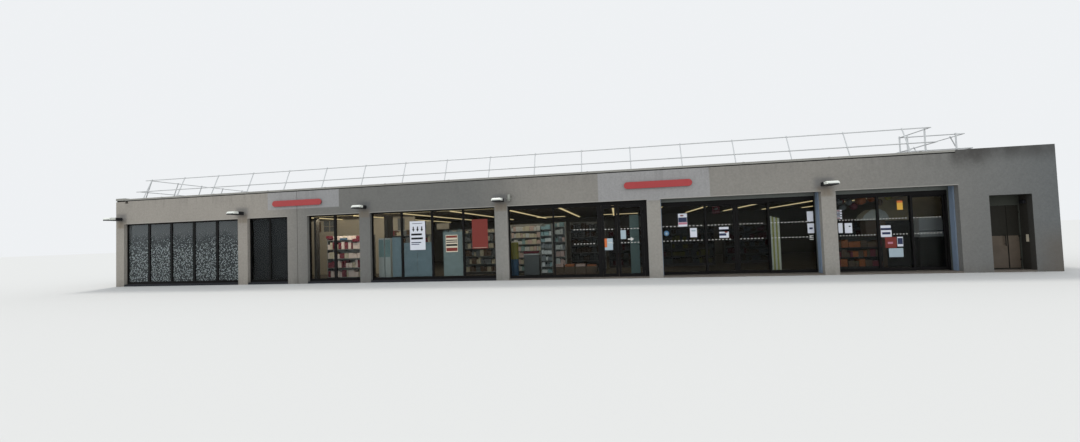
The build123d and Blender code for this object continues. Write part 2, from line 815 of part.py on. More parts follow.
def guard_run(posts, rail_spans, shift=0):
    """One straight run of leaning posts: X along it, Y inward from the wall face.

    rail_spans gives the start and end of the middle rail and of the top rail. shift moves the
    posts and the rails further inward, on longer bracket arms.
    """
    post_length = (post_top - post_foot_height) / cos(radians(rail_lean))
    foot_plane = Plane(origin=(0, foot_offset + shift, post_foot_height), x_dir=(1, 0, 0),
                       z_dir=(0, sin(radians(rail_lean)), cos(radians(rail_lean))))
    with BuildPart() as run:
        with BuildSketch(foot_plane):
            with Locations(*[(at, 0) for at in posts]):
                RegularPolygon(rail_radius, rail_sides)
        extrude(amount=post_length)
        for (start, end), offset_in, height in zip(rail_spans, (mid_offset, top_offset),
                                                   (mid_rail_height, top_rail_height)):
            with BuildSketch(Plane(origin=(start, offset_in + shift, height),
                                   x_dir=(0, 1, 0), z_dir=(1, 0, 0))):
                RegularPolygon(rail_radius, rail_sides)
            extrude(amount=end - start)
        with BuildSketch(Plane.XZ):
            with Locations(*[(at, bracket_centre) for at in posts]):
                Rectangle(bracket_width, bracket_height)
        extrude(amount=-bracket_thickness)
        with BuildSketch(Plane.XZ):
            with Locations(*[(at, bracket_centre) for at in posts]):
                Rectangle(bracket_arm, bracket_arm)
        extrude(amount=-bracket_offset - shift)
    return run.part


def plumb_run(posts, rail_spans):
    """One straight run of plumb posts that stand on the roof covering."""
    with BuildPart() as run:
        with BuildSketch(Plane.XY.offset(covering_top)):
            with Locations(*[(at, top_offset) for at in posts]):
                Rectangle(foot_plate, foot_plate)
        extrude(amount=foot_plate_thickness)
        with BuildSketch(Plane.XY.offset(covering_top)):
            with Locations(*[(at, top_offset) for at in posts]):
                RegularPolygon(plumb_post_radius, rail_sides)
        extrude(amount=post_top - covering_top)
        for (start, end), height in zip(rail_spans, (mid_rail_height, top_rail_height)):
            with BuildSketch(Plane(origin=(start, top_offset, height), x_dir=(0, 1, 0),
                                   z_dir=(1, 0, 0))):
                RegularPolygon(rail_radius, rail_sides)
            extrude(amount=end - start)
    return run.part


def evenly(start, end, spacing):
    """Positions from start to end in equal steps close to the spacing."""
    steps = max(1, round((end - start) / spacing))
    return [start + (end - start) * index / steps for index in range(steps + 1)]


def spaced(start, end, spacing):
    """Positions from start by the spacing, as far as the end."""
    return [start + index * spacing for index in range(int((end - start) / spacing) + 1)]


def placed(run, x, y, x_dir):
    """A run moved to its wall face; inward is to the left of x_dir."""
    return Plane(origin=(along(x), behind(y), 0), x_dir=x_dir, z_dir=(0, 0, 1)) * run


# The front run reaches past the left run and ends over the side run at the stepped corner
left_run_middle = inner_left + left_run_inset + mid_offset
left_run_top = inner_left + left_run_inset + top_offset
side_run_at = corner_upstand_at - top_offset
front_posts = spaced(front_first_post, side_run_at - rail_radius, front_post_spacing)
guard_front = placed(
    guard_run(front_posts, [(left_run_middle - front_rail_overhang, side_run_at + rail_radius),
                            (left_run_top - front_rail_overhang, side_run_at + rail_radius)]),
    0, wall_thickness, (1, 0, 0))
finish(guard_front, "guardrail_front")

# The side run of the step, from the front run back to the corner post of the second run
clear = rail_radius + rail_corner_gap
return_length = corner_step_depth - wall_thickness
side_run_end = return_length + top_offset + rail_radius
guard_return_side = placed(
    plumb_run([side_plumb_post_out, return_length + top_offset],
              [(mid_offset + clear, side_run_end), (top_offset + clear, side_run_end)]),
    corner_upstand_at, wall_thickness, (0, 1, 0))
finish(guard_return_side, "guardrail_return_side")

# The second run, over the corner and parallel to the front
second_length = inner_right - corner_upstand_at
second_start = plumb_post_radius + rail_corner_gap - top_offset
guard_return_rear = placed(
    plumb_run([-rear_plumb_post_before, rear_plumb_post_after],
              [(second_start, second_length - right_run_inset - mid_offset + rail_radius),
               (second_start, second_length - right_run_inset - top_offset + rail_radius)]),
    corner_upstand_at, corner_step_depth, (1, 0, 0))
finish(guard_return_rear, "guardrail_return_rear")

# Rear run over the full length, and the two sides between the front and the rear
rear_length = inner_right - inner_left
rear_posts = evenly(corner_post_inset + top_offset, rear_length - corner_post_inset - top_offset,
                    rear_post_spacing)
guard_rear = placed(
    guard_run(rear_posts, [(mid_offset - rail_radius, rear_length - mid_offset + rail_radius),
                           (top_offset - rail_radius, rear_length - top_offset + rail_radius)]),
    inner_right, inner_rear, (-1, 0, 0))
finish(guard_rear, "guardrail_rear")

left_length = inner_rear - wall_thickness
left_posts = evenly(corner_post_inset + top_offset, left_length - left_post_from_front,
                    left_post_spacing)
guard_left = placed(
    guard_run(left_posts, [(mid_offset + clear, left_length - mid_offset - clear),
                           (top_offset + clear, left_length - top_offset - clear)],
              shift=left_run_inset),
    inner_left, inner_rear, (0, -1, 0))
finish(guard_left, "guardrail_left")

right_length = inner_rear - corner_step_depth
right_posts = evenly(right_first_post, right_length - corner_post_inset - top_offset,
                     right_post_spacing)
guard_right = placed(
    guard_run(right_posts, [(top_offset + clear, right_length - mid_offset - clear),
                            (top_offset + clear, right_length - top_offset - clear)],
              shift=right_run_inset),
    inner_right, corner_step_depth, (0, 1, 0))
finish(guard_right, "guardrail_right")

# Wall lamps: a neck from the wall, a dark gear box with a tray in front of it, and a white
# cover that sits on the tray
lamp_base = head_height + lamp_above_head
tray_top = lamp_base + lamp_tray_height
box_top = lamp_base + lamp_box_height
neck_middle = (lamp_base + box_top) / 2
lamp_stations = [
    left_pier_width / 2 + lamp_end_shift,
    (bay_a_end + bay_b_start) / 2,
    (bay_c_end + bay_d_start) / 2,
    (bay_d_end + bay_e_start) / 2,
    (bay_f_end + bay_g_start) / 2 - lamp_end_shift,
]
with BuildPart() as wall_lamp_brackets:
    for at in lamp_stations:
        with BuildSketch(Plane.YZ.offset(along(at - lamp_box_width / 2))) as lamp_side:
            with BuildLine():
                Polyline(
                    (behind(-lamp_neck_length), lamp_base),
                    (behind(-lamp_neck_length), box_top),
                    (behind(-lamp_box_depth), box_top),
                    (behind(-lamp_box_depth), tray_top),
                    (behind(-lamp_reach), tray_top),
                    (behind(-lamp_reach), lamp_base),
                    close=True,
                )
            make_face()
        extrude(lamp_side.sketch, amount=lamp_box_width)
        block(at - lamp_neck_width / 2, at + lamp_neck_width / 2, -lamp_neck_length, 0,
              neck_middle - lamp_neck_height / 2, neck_middle + lamp_neck_height / 2)
finish(wall_lamp_brackets.part, "wall_lamp_brackets")

with BuildPart() as wall_lamp_heads:
    for at in lamp_stations:
        with BuildSketch(Plane.XY.offset(tray_top)) as cover_outline:
            with Locations((along(at), behind(-(lamp_box_depth + lamp_reach) / 2))):
                RectangleRounded(lamp_cover_width, lamp_reach - lamp_box_depth,
                                 lamp_cover_corner)
        extrude(cover_outline.sketch, amount=lamp_cover_height)
    crowns = wall_lamp_heads.faces().group_by(Axis.Z)[-1]
    fillet([edge for crown in crowns for edge in crown.edges()], lamp_cover_crown)
finish(wall_lamp_heads.part, "wall_lamp_heads")

# Dome camera: a round stem over a rim and a dome, on an arm from a plate on the wall
camera_at = (bay_d_end + bay_e_start) / 2 + camera_beside_lamp
rim_bottom = head_height + camera_above_head
rim_top = rim_bottom + camera_rim_height
stem_top = rim_top + camera_stem_height
with BuildPart() as camera:
    with BuildSketch(Plane.XZ.offset(-behind(-camera_out))):
        with BuildLine():
            Polyline(
                (along(camera_at), rim_bottom - camera_dome_radius),
                (along(camera_at), stem_top),
                (along(camera_at + camera_stem_radius), stem_top),
                (along(camera_at + camera_stem_radius), rim_top),
                (along(camera_at + camera_rim_radius), rim_top),
                (along(camera_at + camera_rim_radius), rim_bottom),
                (along(camera_at + camera_dome_radius), rim_bottom),
            )
            RadiusArc((along(camera_at + camera_dome_radius), rim_bottom),
                      (along(camera_at), rim_bottom - camera_dome_radius),
                      camera_dome_radius)
        make_face()
    revolve(axis=Axis((along(camera_at), behind(-camera_out), 0), (0, 0, 1)))
    arm_middle = (rim_top + stem_top) / 2
    block(camera_at - camera_arm / 2, camera_at + camera_arm / 2, -camera_out, 0,
          arm_middle - camera_arm / 2, arm_middle + camera_arm / 2)
    block(camera_at - camera_plate / 2, camera_at + camera_plate / 2,
          -camera_plate_thickness, 0, arm_middle - camera_plate / 2,
          arm_middle + camera_plate / 2)
finish(camera.part, "camera")

# Suspended ceiling, cut back round the shutter boxes, and its light strips
with BuildPart() as suspended_ceiling:
    with BuildSketch(Plane.XY.offset(ceiling_underside)):
        with BuildLine():
            Polyline(
                (along(inner_left), behind(wall_thickness)),
                (along(bay_f_start), behind(wall_thickness)),
                (along(bay_f_start), behind(entrance_recess)),
                (along(bay_g_end), behind(entrance_recess)),
                (along(bay_g_end), behind(wall_thickness)),
                (along(inner_right), behind(wall_thickness)),
                (along(inner_right), behind(inner_rear)),
                (along(inner_left), behind(inner_rear)),
                close=True,
            )
        make_face()
    extrude(amount=ceiling_thickness)
finish(suspended_ceiling.part, "suspended_ceiling")

with BuildPart() as ceiling_lights:
    for at in evenly(inner_left + light_strip_edge, inner_right - light_strip_edge,
                     light_strip_pitch):
        block(at - light_strip_width / 2, at + light_strip_width / 2, light_strip_start,
              inner_rear - light_strip_start, ceiling_underside - light_strip_thickness,
              ceiling_underside)
finish(ceiling_lights.part, "ceiling_lights")
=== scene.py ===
"""Looks of the supermarket building: finishes of every piece, trim, window dressing and what shows
through the glass. Metres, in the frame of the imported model: the front faces -Y and +Z is up."""

import json
import math
import random

import bmesh
import bpy
from mathutils import Matrix, Vector


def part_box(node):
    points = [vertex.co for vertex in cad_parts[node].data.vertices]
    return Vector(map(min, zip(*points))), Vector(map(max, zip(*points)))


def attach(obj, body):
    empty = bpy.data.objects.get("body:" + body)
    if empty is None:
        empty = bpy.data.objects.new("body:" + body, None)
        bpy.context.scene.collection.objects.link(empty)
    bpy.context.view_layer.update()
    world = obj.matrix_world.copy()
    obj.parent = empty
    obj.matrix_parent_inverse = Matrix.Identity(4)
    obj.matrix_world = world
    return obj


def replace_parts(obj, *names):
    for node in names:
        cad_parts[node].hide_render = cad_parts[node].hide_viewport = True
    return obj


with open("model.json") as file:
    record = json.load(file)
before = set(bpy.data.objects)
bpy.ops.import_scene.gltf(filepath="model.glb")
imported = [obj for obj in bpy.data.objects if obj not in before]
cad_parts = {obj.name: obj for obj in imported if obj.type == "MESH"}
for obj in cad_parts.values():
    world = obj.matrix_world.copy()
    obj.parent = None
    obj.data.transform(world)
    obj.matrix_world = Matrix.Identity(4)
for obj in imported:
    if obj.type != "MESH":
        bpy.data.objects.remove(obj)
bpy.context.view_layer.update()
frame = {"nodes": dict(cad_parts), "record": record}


# Places read from the frame
def solids(node):
    """Boxes of the separate solids of a CAD node, from left to right and then from the front."""
    mesh = frame["nodes"][node].data
    parent = list(range(len(mesh.vertices)))

    def root(index):
        while parent[index] != index:
            parent[index] = parent[parent[index]]
            index = parent[index]
        return index

    spots = {}
    for vertex in mesh.vertices:
        spot = tuple(round(value, 5) for value in vertex.co)
        parent[vertex.index] = spots.setdefault(spot, vertex.index)
    for edge in mesh.edges:
        first, second = root(edge.vertices[0]), root(edge.vertices[1])
        parent[first] = second
    groups = {}
    for vertex in mesh.vertices:
        groups.setdefault(root(vertex.index), []).append(vertex.co)
    boxes = []
    for points in groups.values():
        low = Vector([min(point[axis] for point in points) for axis in range(3)])
        high = Vector([max(point[axis] for point in points) for axis in range(3)])
        boxes.append((low, high))
    return sorted(boxes, key=lambda box: (round(box[0].x, 3), round(box[0].y, 3)))


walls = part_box("rear_wall")
left_end = walls[0].x
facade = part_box("front_piers")[0].y
wall_top = walls[1].z
head_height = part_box("front_piers")[1].z
lamps = solids("wall_lamp_brackets")
# Top of the hall's floor and underside of its ceiling
floor, ceiling = 0.06, 3.0


def at(x, y, z):
    """A point given from the left end, behind the front wall and above the ground."""
    return Vector((left_end + x, facade + y, z))


def spans(box):
    """How far a box of the frame reaches along X, Y and Z, given as at() takes it."""
    low, high = box
    return ((low.x - left_end, high.x - left_end), (low.y - facade, high.y - facade),
            (low.z, high.z))


# Materials: each is built from small named steps and kept in looks by its name
looks = {}


class Paint:
    """A node material. Each step adds a node and returns its output socket."""

    def __init__(self, name, roughness=0.6, metallic=0.0, specular=0.5):
        self.material = looks[name] = bpy.data.materials.new(name)
        self.material.use_nodes = True
        self.nodes = self.material.node_tree.nodes
        self.links = self.material.node_tree.links
        self.shader = self.nodes["Principled BSDF"]
        self.shader.inputs["Roughness"].default_value = roughness
        self.shader.inputs["Metallic"].default_value = metallic
        self.shader.inputs["Specular IOR Level"].default_value = specular
        self.place = self.add("ShaderNodeTexCoord").outputs["Object"]

    def add(self, kind, inputs=None, **settings):
        node = self.nodes.new(kind)
        for key, value in settings.items():
            setattr(node, key, value)
        for key, value in (inputs or {}).items():
            self.put(node.inputs[key], value)
        return node

    def put(self, socket, value):
        if isinstance(value, bpy.types.NodeSocket):
            self.links.new(value, socket)
        elif isinstance(value, (tuple, list)) and socket.type == "RGBA":
            socket.default_value = (*value[:3], 1)
        else:
            socket.default_value = value

    def axis(self, name):
        return self.add("ShaderNodeSeparateXYZ", {0: self.place}).outputs[name]

    def stretched(self, x, y, z):
        scaled = self.add("ShaderNodeVectorMath", {0: self.place, 1: (x, y, z)},
                          operation="MULTIPLY")
        return scaled.outputs[0]

    def noise(self, scale, detail=4.0, rough=0.55, place=None):
        node = self.add("ShaderNodeTexNoise", {"Vector": place or self.place, "Scale": scale,
                                               "Detail": detail, "Roughness": rough})
        return node.outputs["Fac"]

    def cells(self, scale, place):
        node = self.add("ShaderNodeTexVoronoi", {"Vector": place, "Scale": scale})
        return node.outputs["Distance"]

    def ramp(self, value, low, high, to_low=0.0, to_high=1.0, smooth=True):
        node = self.add("ShaderNodeMapRange", {"Value": value, "From Min": low,
                                               "From Max": high, "To Min": to_low,
                                               "To Max": to_high},
                        interpolation_type="SMOOTHSTEP" if smooth else "LINEAR")
        return node.outputs[0]

    def within(self, value, start, end, blur):
        """One between start and end, fading to zero over the blur outside them."""
        return self.math("MULTIPLY", self.ramp(value, start - blur, start),
                         self.ramp(value, end + blur, end))

    def math(self, operation, first, second=0.0):
        return self.add("ShaderNodeMath", {0: first, 1: second}, operation=operation).outputs[0]

    def mix(self, factor, first, second):
        node = self.add("ShaderNodeMix", data_type="RGBA")
        self.put(node.inputs[0], factor)
        self.put(node.inputs[6], first)
        self.put(node.inputs[7], second)
        return node.outputs[2]

    def shade(self, colour, value, low, high):
        """The colour made darker or lighter by a factor that runs from low to high."""
        factor = self.ramp(value, 0.0, 1.0, low, high, smooth=False)
        scaled = self.add("ShaderNodeVectorMath", {0: colour}, operation="SCALE")
        self.put(scaled.inputs["Scale"], factor)
        return scaled.outputs[0]

    def colour(self, value):
        self.put(self.shader.inputs["Base Color"], value)
        return self

    def rough(self, value):
        self.put(self.shader.inputs["Roughness"], value)
        return self

    def bump(self, height, distance, strength=1.0):
        node = self.add("ShaderNodeBump", {"Height": height, "Distance": distance,
                                           "Strength": strength})
        self.put(self.shader.inputs["Normal"], node.outputs[0])
        return self


def wall_render():
    """Grey-beige render: fine grain, blotches, dirt under the cap, under the lamps, at the foot;
    painted shade and painted light across the front.
    """
    paint = Paint("wall_render", roughness=0.9, specular=0.2)
    x, y, z = paint.axis("X"), paint.axis("Y"), paint.axis("Z")

    def both(first, second):
        return paint.math("MULTIPLY", first, second)

    def along(start, end, smooth=True):
        return paint.ramp(x, left_end + start, left_end + end, smooth=smooth)

    def behind(start, end, smooth=True):
        return paint.ramp(y, facade + start, facade + end, smooth=smooth)

    def from_end(start, end, blur):
        return paint.within(x, left_end + start, left_end + end, blur)

    def lay(tone, share, *more):
        """Mixes a tone over the colour, by the product of the shares."""
        nonlocal colour
        for factor in more:
            share = both(share, factor)
        colour = paint.mix(share, colour, tone)

    # Front tone: warm at the left, greyer from 8 m, cooler and darker towards the right end; this is
    # painted shade, with real dirt at the right end
    warm, grey, cool = (0.325, 0.300, 0.265), (0.250, 0.237, 0.214), (0.125, 0.132, 0.133)
    front = paint.mix(along(8, 17), warm, grey)
    front = paint.mix(along(31, 38.1, smooth=False), front, cool)
    # Darker patch over bays C and D: painted shadow of a tree
    front = paint.mix(both(from_end(10.8, 17.5, 3.2), 0.66), front, (0.110, 0.117, 0.116))
    # Piers on the right half made lighter below the head height: painted light
    piers = both(from_end(18.6, 33.5, 1.5), paint.ramp(z, head_height + 0.05, head_height - 0.2))
    front = paint.shade(front, piers, 1.0, 1.24)
    colour = paint.mix(behind(0.25, 2.5), front, (0.235, 0.229, 0.210))

    fine = paint.noise(1.0, 4.0, 0.6, paint.stretched(13.0, 13.0, 0.8))
    streaks = paint.noise(1.0, 5.0, 0.65, paint.stretched(4.5, 4.5, 0.35))
    broad = paint.noise(1.0, 5.0, 0.62, paint.stretched(1.5, 1.5, 0.9))
    near_front = behind(0.02, 0.0, smooth=False)
    # Paler patches in the two sign places
    pale = paint.shade((0.330, 0.328, 0.332), fine, 0.90, 1.10)
    for start, end, low in ((22.98, 27.06, 2.9), (8.35, 11.84, 3.27)):
        lay(pale, from_end(start, end, 0.03), paint.ramp(z, low, low + 0.05), near_front, 0.75)
    for grain, low, high in ((paint.noise(0.55, 3.0), 0.92, 1.08),
                             (paint.noise(4.5, 4.0, 0.7), 0.93, 1.07),
                             (paint.noise(12.0, 3.0), 0.84, 1.16),
                             (paint.noise(38.0, 3.0), 0.84, 1.16)):
        colour = paint.shade(colour, grain, low, high)
    # Wet streaks under the cap, stains on the part without coping
    lay((0.085, 0.084, 0.080), paint.ramp(streaks, 0.46, 0.72),
        paint.ramp(z, wall_top - 0.75, wall_top), 0.24)
    lay((0.062, 0.060, 0.058), along(34.7, 35.3), behind(3.0, 1.2),
        paint.ramp(z, wall_top - 0.62, wall_top - 0.02), paint.ramp(broad, 0.30, 0.62, 0.40, 0.85))
    lay((0.060, 0.056, 0.052), from_end(35.05, 35.75, 0.35), near_front,
        paint.ramp(z, wall_top - 0.85, wall_top - 0.15), paint.ramp(broad, 0.35, 0.60, 0.15, 0.60))
    # Dirt at the foot and at the right corner
    lay((0.12, 0.11, 0.095), paint.ramp(z, 0.45, 0.0), paint.ramp(streaks, 0.3, 0.7), 0.4)
    lay((0.125, 0.100, 0.075), along(36.8, 37.8), paint.ramp(z, 1.7, 0.7), behind(3.0, 1.2), 0.5)
    # Dirt under the lamps, painted shade round them
    for low, high in lamps:
        lay((0.20, 0.160, 0.115), paint.within(x, low.x, high.x, 0.16),
            paint.within(z, low.z - 0.30, low.z - 0.02, 0.10),
            paint.ramp(fine, 0.2, 0.7, 0.25, 0.65), near_front)
        lay((0.10, 0.105, 0.115), paint.within(x, low.x - 0.05, high.x, 0.22),
            paint.within(z, low.z, high.z + 0.10, 0.16), near_front, 0.42)
    # Pale edge over each opening
    line = paint.within(z, head_height, head_height + 0.022, 0.010)
    for start, end in ((0.47, 6.77), (7.27, 9.31), (10.29, 12.80), (13.29, 18.79),
                       (19.32, 24.775), (25.28, 30.80), (31.27, 35.025)):
        lay((0.46, 0.44, 0.40), line, from_end(start, end, 0.02), near_front, 0.45)
    # Dark head of the service recess
    lay((0.034, 0.031, 0.026), from_end(35.85, 37.14, 0.02),
        paint.ramp(z, head_height - 0.38, head_height - 0.40, smooth=False),
        paint.within(y, facade + 0.014, facade + 0.4, 0.008), 0.85)
    paint.colour(colour).bump(paint.noise(160.0, 4.0, 0.7), 0.0025, 0.6)


def plain(name, colour, roughness=0.5, grain=40.0, spread=0.06, specular=0.5, metallic=0.0):
    """A painted, cast or moulded surface with a slight unevenness of colour and gloss."""
    paint = Paint(name, roughness, metallic, specular)
    shaded = paint.shade(colour, paint.noise(grain, 3.0), 1.0 - spread, 1.0 + spread)
    shaded = paint.shade(shaded, paint.noise(1.7, 2.0), 1.0 - spread, 1.0 + spread)
    paint.colour(shaded)
    paint.rough(paint.ramp(paint.noise(grain / 3, 2.0), 0.3, 0.7, roughness - 0.07,
                           roughness + 0.07))


def clear_glass():
    """Tinted double glazing that shows a dark interior and mirrors a little."""
    paint = Paint("clear_glass")
    paint.nodes.remove(paint.shader)
    through = paint.add("ShaderNodeBsdfTransparent", {"Color": (0.76, 0.78, 0.77)})
    mirror = paint.add("ShaderNodeBsdfGlossy", {"Color": (0.9, 0.95, 1.0), "Roughness": 0.03})
    rim = paint.add("ShaderNodeFresnel", {"IOR": 1.14})
    mixed = paint.add("ShaderNodeMixShader", {0: rim.outputs[0], 1: through.outputs[0],
                                              2: mirror.outputs[0]})
    paint.put(paint.nodes["Material Output"].inputs["Surface"], mixed.outputs[0])


def glowing(name, colour, strength):
    """A diffuser that gives light."""
    paint = Paint(name, roughness=0.4)
    paint.colour(paint.shade(colour, paint.noise(3.0, 2.0), 0.97, 1.03))
    paint.put(paint.shader.inputs["Emission Color"], colour)
    paint.shader.inputs["Emission Strength"].default_value = strength


def film(name, base, speckle, start):
    """Grey privacy film whose white leaf marks grow dense below the height where they start."""
    paint = Paint(name, roughness=0.55, specular=0.3)
    z = paint.axis("Z")
    edge = paint.math("ADD", z, paint.ramp(paint.noise(2.1, 2.0), 0.3, 0.7, -0.16, 0.16))
    first = paint.cells(9.5, paint.stretched(1.5, 1.0, 1.0))
    second = paint.cells(10.5, paint.stretched(1.0, 1.3, 1.5))
    reach = paint.ramp(edge, start, start - 0.9, 0.13, 0.335)
    marks = paint.math("LESS_THAN", paint.math("MINIMUM", first, second), reach)
    below = paint.ramp(edge, start + 0.02, start - 0.05)
    ground = tuple(value * 0.45 for value in base)
    tint = paint.mix(paint.ramp(edge, start + 0.05, start - 0.5), base, ground)
    paint.colour(paint.mix(paint.math("MULTIPLY", marks, below),
                           paint.shade(tint, paint.noise(1.3, 2.0), 0.92, 1.08), speckle))


wall_render()
clear_glass()
glowing("light_diffuser", (0.86, 0.68, 0.38), 1.1)
film("leaf_film", (0.262, 0.254, 0.272), (0.82, 0.84, 0.88), 2.50)
# Name, colour, roughness, grain, spread, specular, metallic, the last ones where they matter
for row in (
        ("floor_concrete", (0.12, 0.103, 0.085), 0.55, 12.0, 0.10),
        ("roof_concrete", (0.30, 0.30, 0.29), 0.9),
        ("roof_felt", (0.23, 0.235, 0.24), 0.95, 220.0, 0.22),
        ("coping_metal", (0.270, 0.262, 0.236), 0.45, 9.0, 0.06, 0.5, 0.3),
        ("sill_stone", (0.022, 0.023, 0.027), 0.8, 40.0, 0.06, 0.2),
        ("frame_paint", (0.0085, 0.0080, 0.0080), 0.45, 40.0, 0.06, 0.08),
        ("hanger_steel", (0.45, 0.45, 0.45), 0.35, 40.0, 0.06, 0.5, 0.8),
        ("operator_metal", (0.016, 0.016, 0.018), 0.4, 40.0, 0.06, 0.2, 0.2),
        ("lining_paint", (0.185, 0.238, 0.315), 0.5, 40.0, 0.06, 0.3),
        ("shutter_metal", (0.11, 0.12, 0.11), 0.5, 40.0, 0.06, 0.5, 0.3),
        ("service_paint", (0.0175, 0.0160, 0.0120), 0.6, 40.0, 0.12, 0.15),
        ("rail_metal", (0.58, 0.59, 0.59), 0.36, 40.0, 0.06, 0.5, 0.6),
        ("lamp_body", (0.012, 0.012, 0.014), 0.45, 40.0, 0.06, 0.2),
        ("lamp_bowl", (0.78, 0.80, 0.74), 0.30, 15.0, 0.05),
        ("camera_plastic", (0.30, 0.31, 0.27), 0.4),
        ("ceiling_board", (0.20, 0.17, 0.13), 0.8),
        ("service_recess_lining", (0.034, 0.031, 0.026), 0.7, 40.0, 0.12, 0.15),
        ("service_door_frame", (0.047, 0.050, 0.041), 0.7, 40.0, 0.12, 0.15),
        ("white_paper", (0.70, 0.72, 0.78), 0.7, 60.0, 0.03, 0.2),
        ("pale_blue_paper", (0.38, 0.47, 0.52), 0.7, 50.0, 0.04),
        ("cream_paper", (0.62, 0.55, 0.42), 0.7, 50.0, 0.04),
        ("red_paper", (0.190, 0.036, 0.028), 0.6, 50.0, 0.05, 0.2),
        ("navy_ink", (0.03, 0.04, 0.09), 0.6, 50.0, 0.05, 0.2),
        ("black_ink", (0.012, 0.012, 0.015), 0.6, 50.0, 0.05, 0.2),
        ("pink_ink", (0.48, 0.20, 0.26), 0.6, 50.0, 0.05, 0.2),
        ("blue_ink", (0.07, 0.20, 0.38), 0.5, 30.0, 0.08),
        ("orange_ink", (0.62, 0.16, 0.05), 0.6, 30.0, 0.05, 0.2),
        ("yellow_ink", (0.72, 0.42, 0.07), 0.6, 30.0, 0.06, 0.2),
        ("white_vinyl", (0.62, 0.61, 0.58), 0.6, 40.0, 0.04),
        ("blue_film", (0.300, 0.395, 0.455), 0.45, 5.0, 0.14, 0.3),
        ("pale_film", (0.40, 0.48, 0.49), 0.45, 5.0, 0.12, 0.3),
        ("sign_red", (0.36, 0.028, 0.030), 0.35, 12.0, 0.05),
        ("grey_glass", (0.20, 0.21, 0.20), 0.15, 15.0, 0.05),
        ("dark_gap", (0.008, 0.008, 0.008), 0.9, 20.0, 0.2, 0.1),
        ("fixing_steel", (0.40, 0.40, 0.41), 0.35, 40.0, 0.06, 0.5, 0.7),
        ("inner_wall_paint", (0.50, 0.45, 0.38), 0.8, 6.0, 0.07),
        ("shelf_metal", (0.34, 0.34, 0.33), 0.5, 15.0, 0.07),
        ("shelf_dark", (0.05, 0.045, 0.04), 0.6, 15.0, 0.10),
        ("shelf_grey", (0.15, 0.15, 0.15), 0.5, 15.0, 0.10),
        ("blind_cloth", (0.050, 0.050, 0.053), 0.9, 90.0, 0.10, 0.1),
        ("banner_pale", (0.86, 0.86, 0.74), 0.7, 9.0, 0.08),
        ("banner_olive", (0.50, 0.47, 0.16), 0.7, 9.0, 0.08),
        ("painted_reflection", (0.086, 0.064, 0.044), 0.65, 7.0, 0.22),
        ("olive_board", (0.44, 0.36, 0.24), 0.7, 3.0, 0.16),
        ("counter_grey", (0.70, 0.70, 0.74), 0.6, 8.0, 0.08)):
    plain(*row)
for label, tone in (("pink", (0.62, 0.44, 0.40)), ("blush", (0.80, 0.66, 0.62)),
                    ("teal", (0.26, 0.38, 0.39)), ("white", (0.62, 0.64, 0.63)),
                    ("wine", (0.19, 0.03, 0.045)), ("olive", (0.30, 0.27, 0.06)),
                    ("blue", (0.05, 0.12, 0.22)), ("brown", (0.13, 0.080, 0.05)),
                    ("cream", (0.60, 0.53, 0.41)), ("grey", (0.17, 0.18, 0.19)),
                    ("orange", (0.38, 0.11, 0.03))):
    # Each goods colour gets a dim copy, painted shade for goods deep in the hall, and a lit copy,
    # painted light for goods near the front of bay E
    dim, lit = (0.27 * value for value in tone), (min(1.45 * value, 0.85) for value in tone)
    plain("goods_" + label, tone, 0.5, 22.0, 0.14)
    plain("dim_goods_" + label, tuple(dim), 0.6, 22.0, 0.18, 0.2)
    plain("lit_goods_" + label, tuple(lit), 0.5, 22.0, 0.14)
for part in frame["record"]["subparts"]:
    node, slot = part["node"], part["material_slot"]
    own_look = node in ("service_recess_lining", "service_door_frame")
    materials = frame["nodes"][node].data.materials
    materials.clear()
    materials.append(looks[node if own_look else slot])


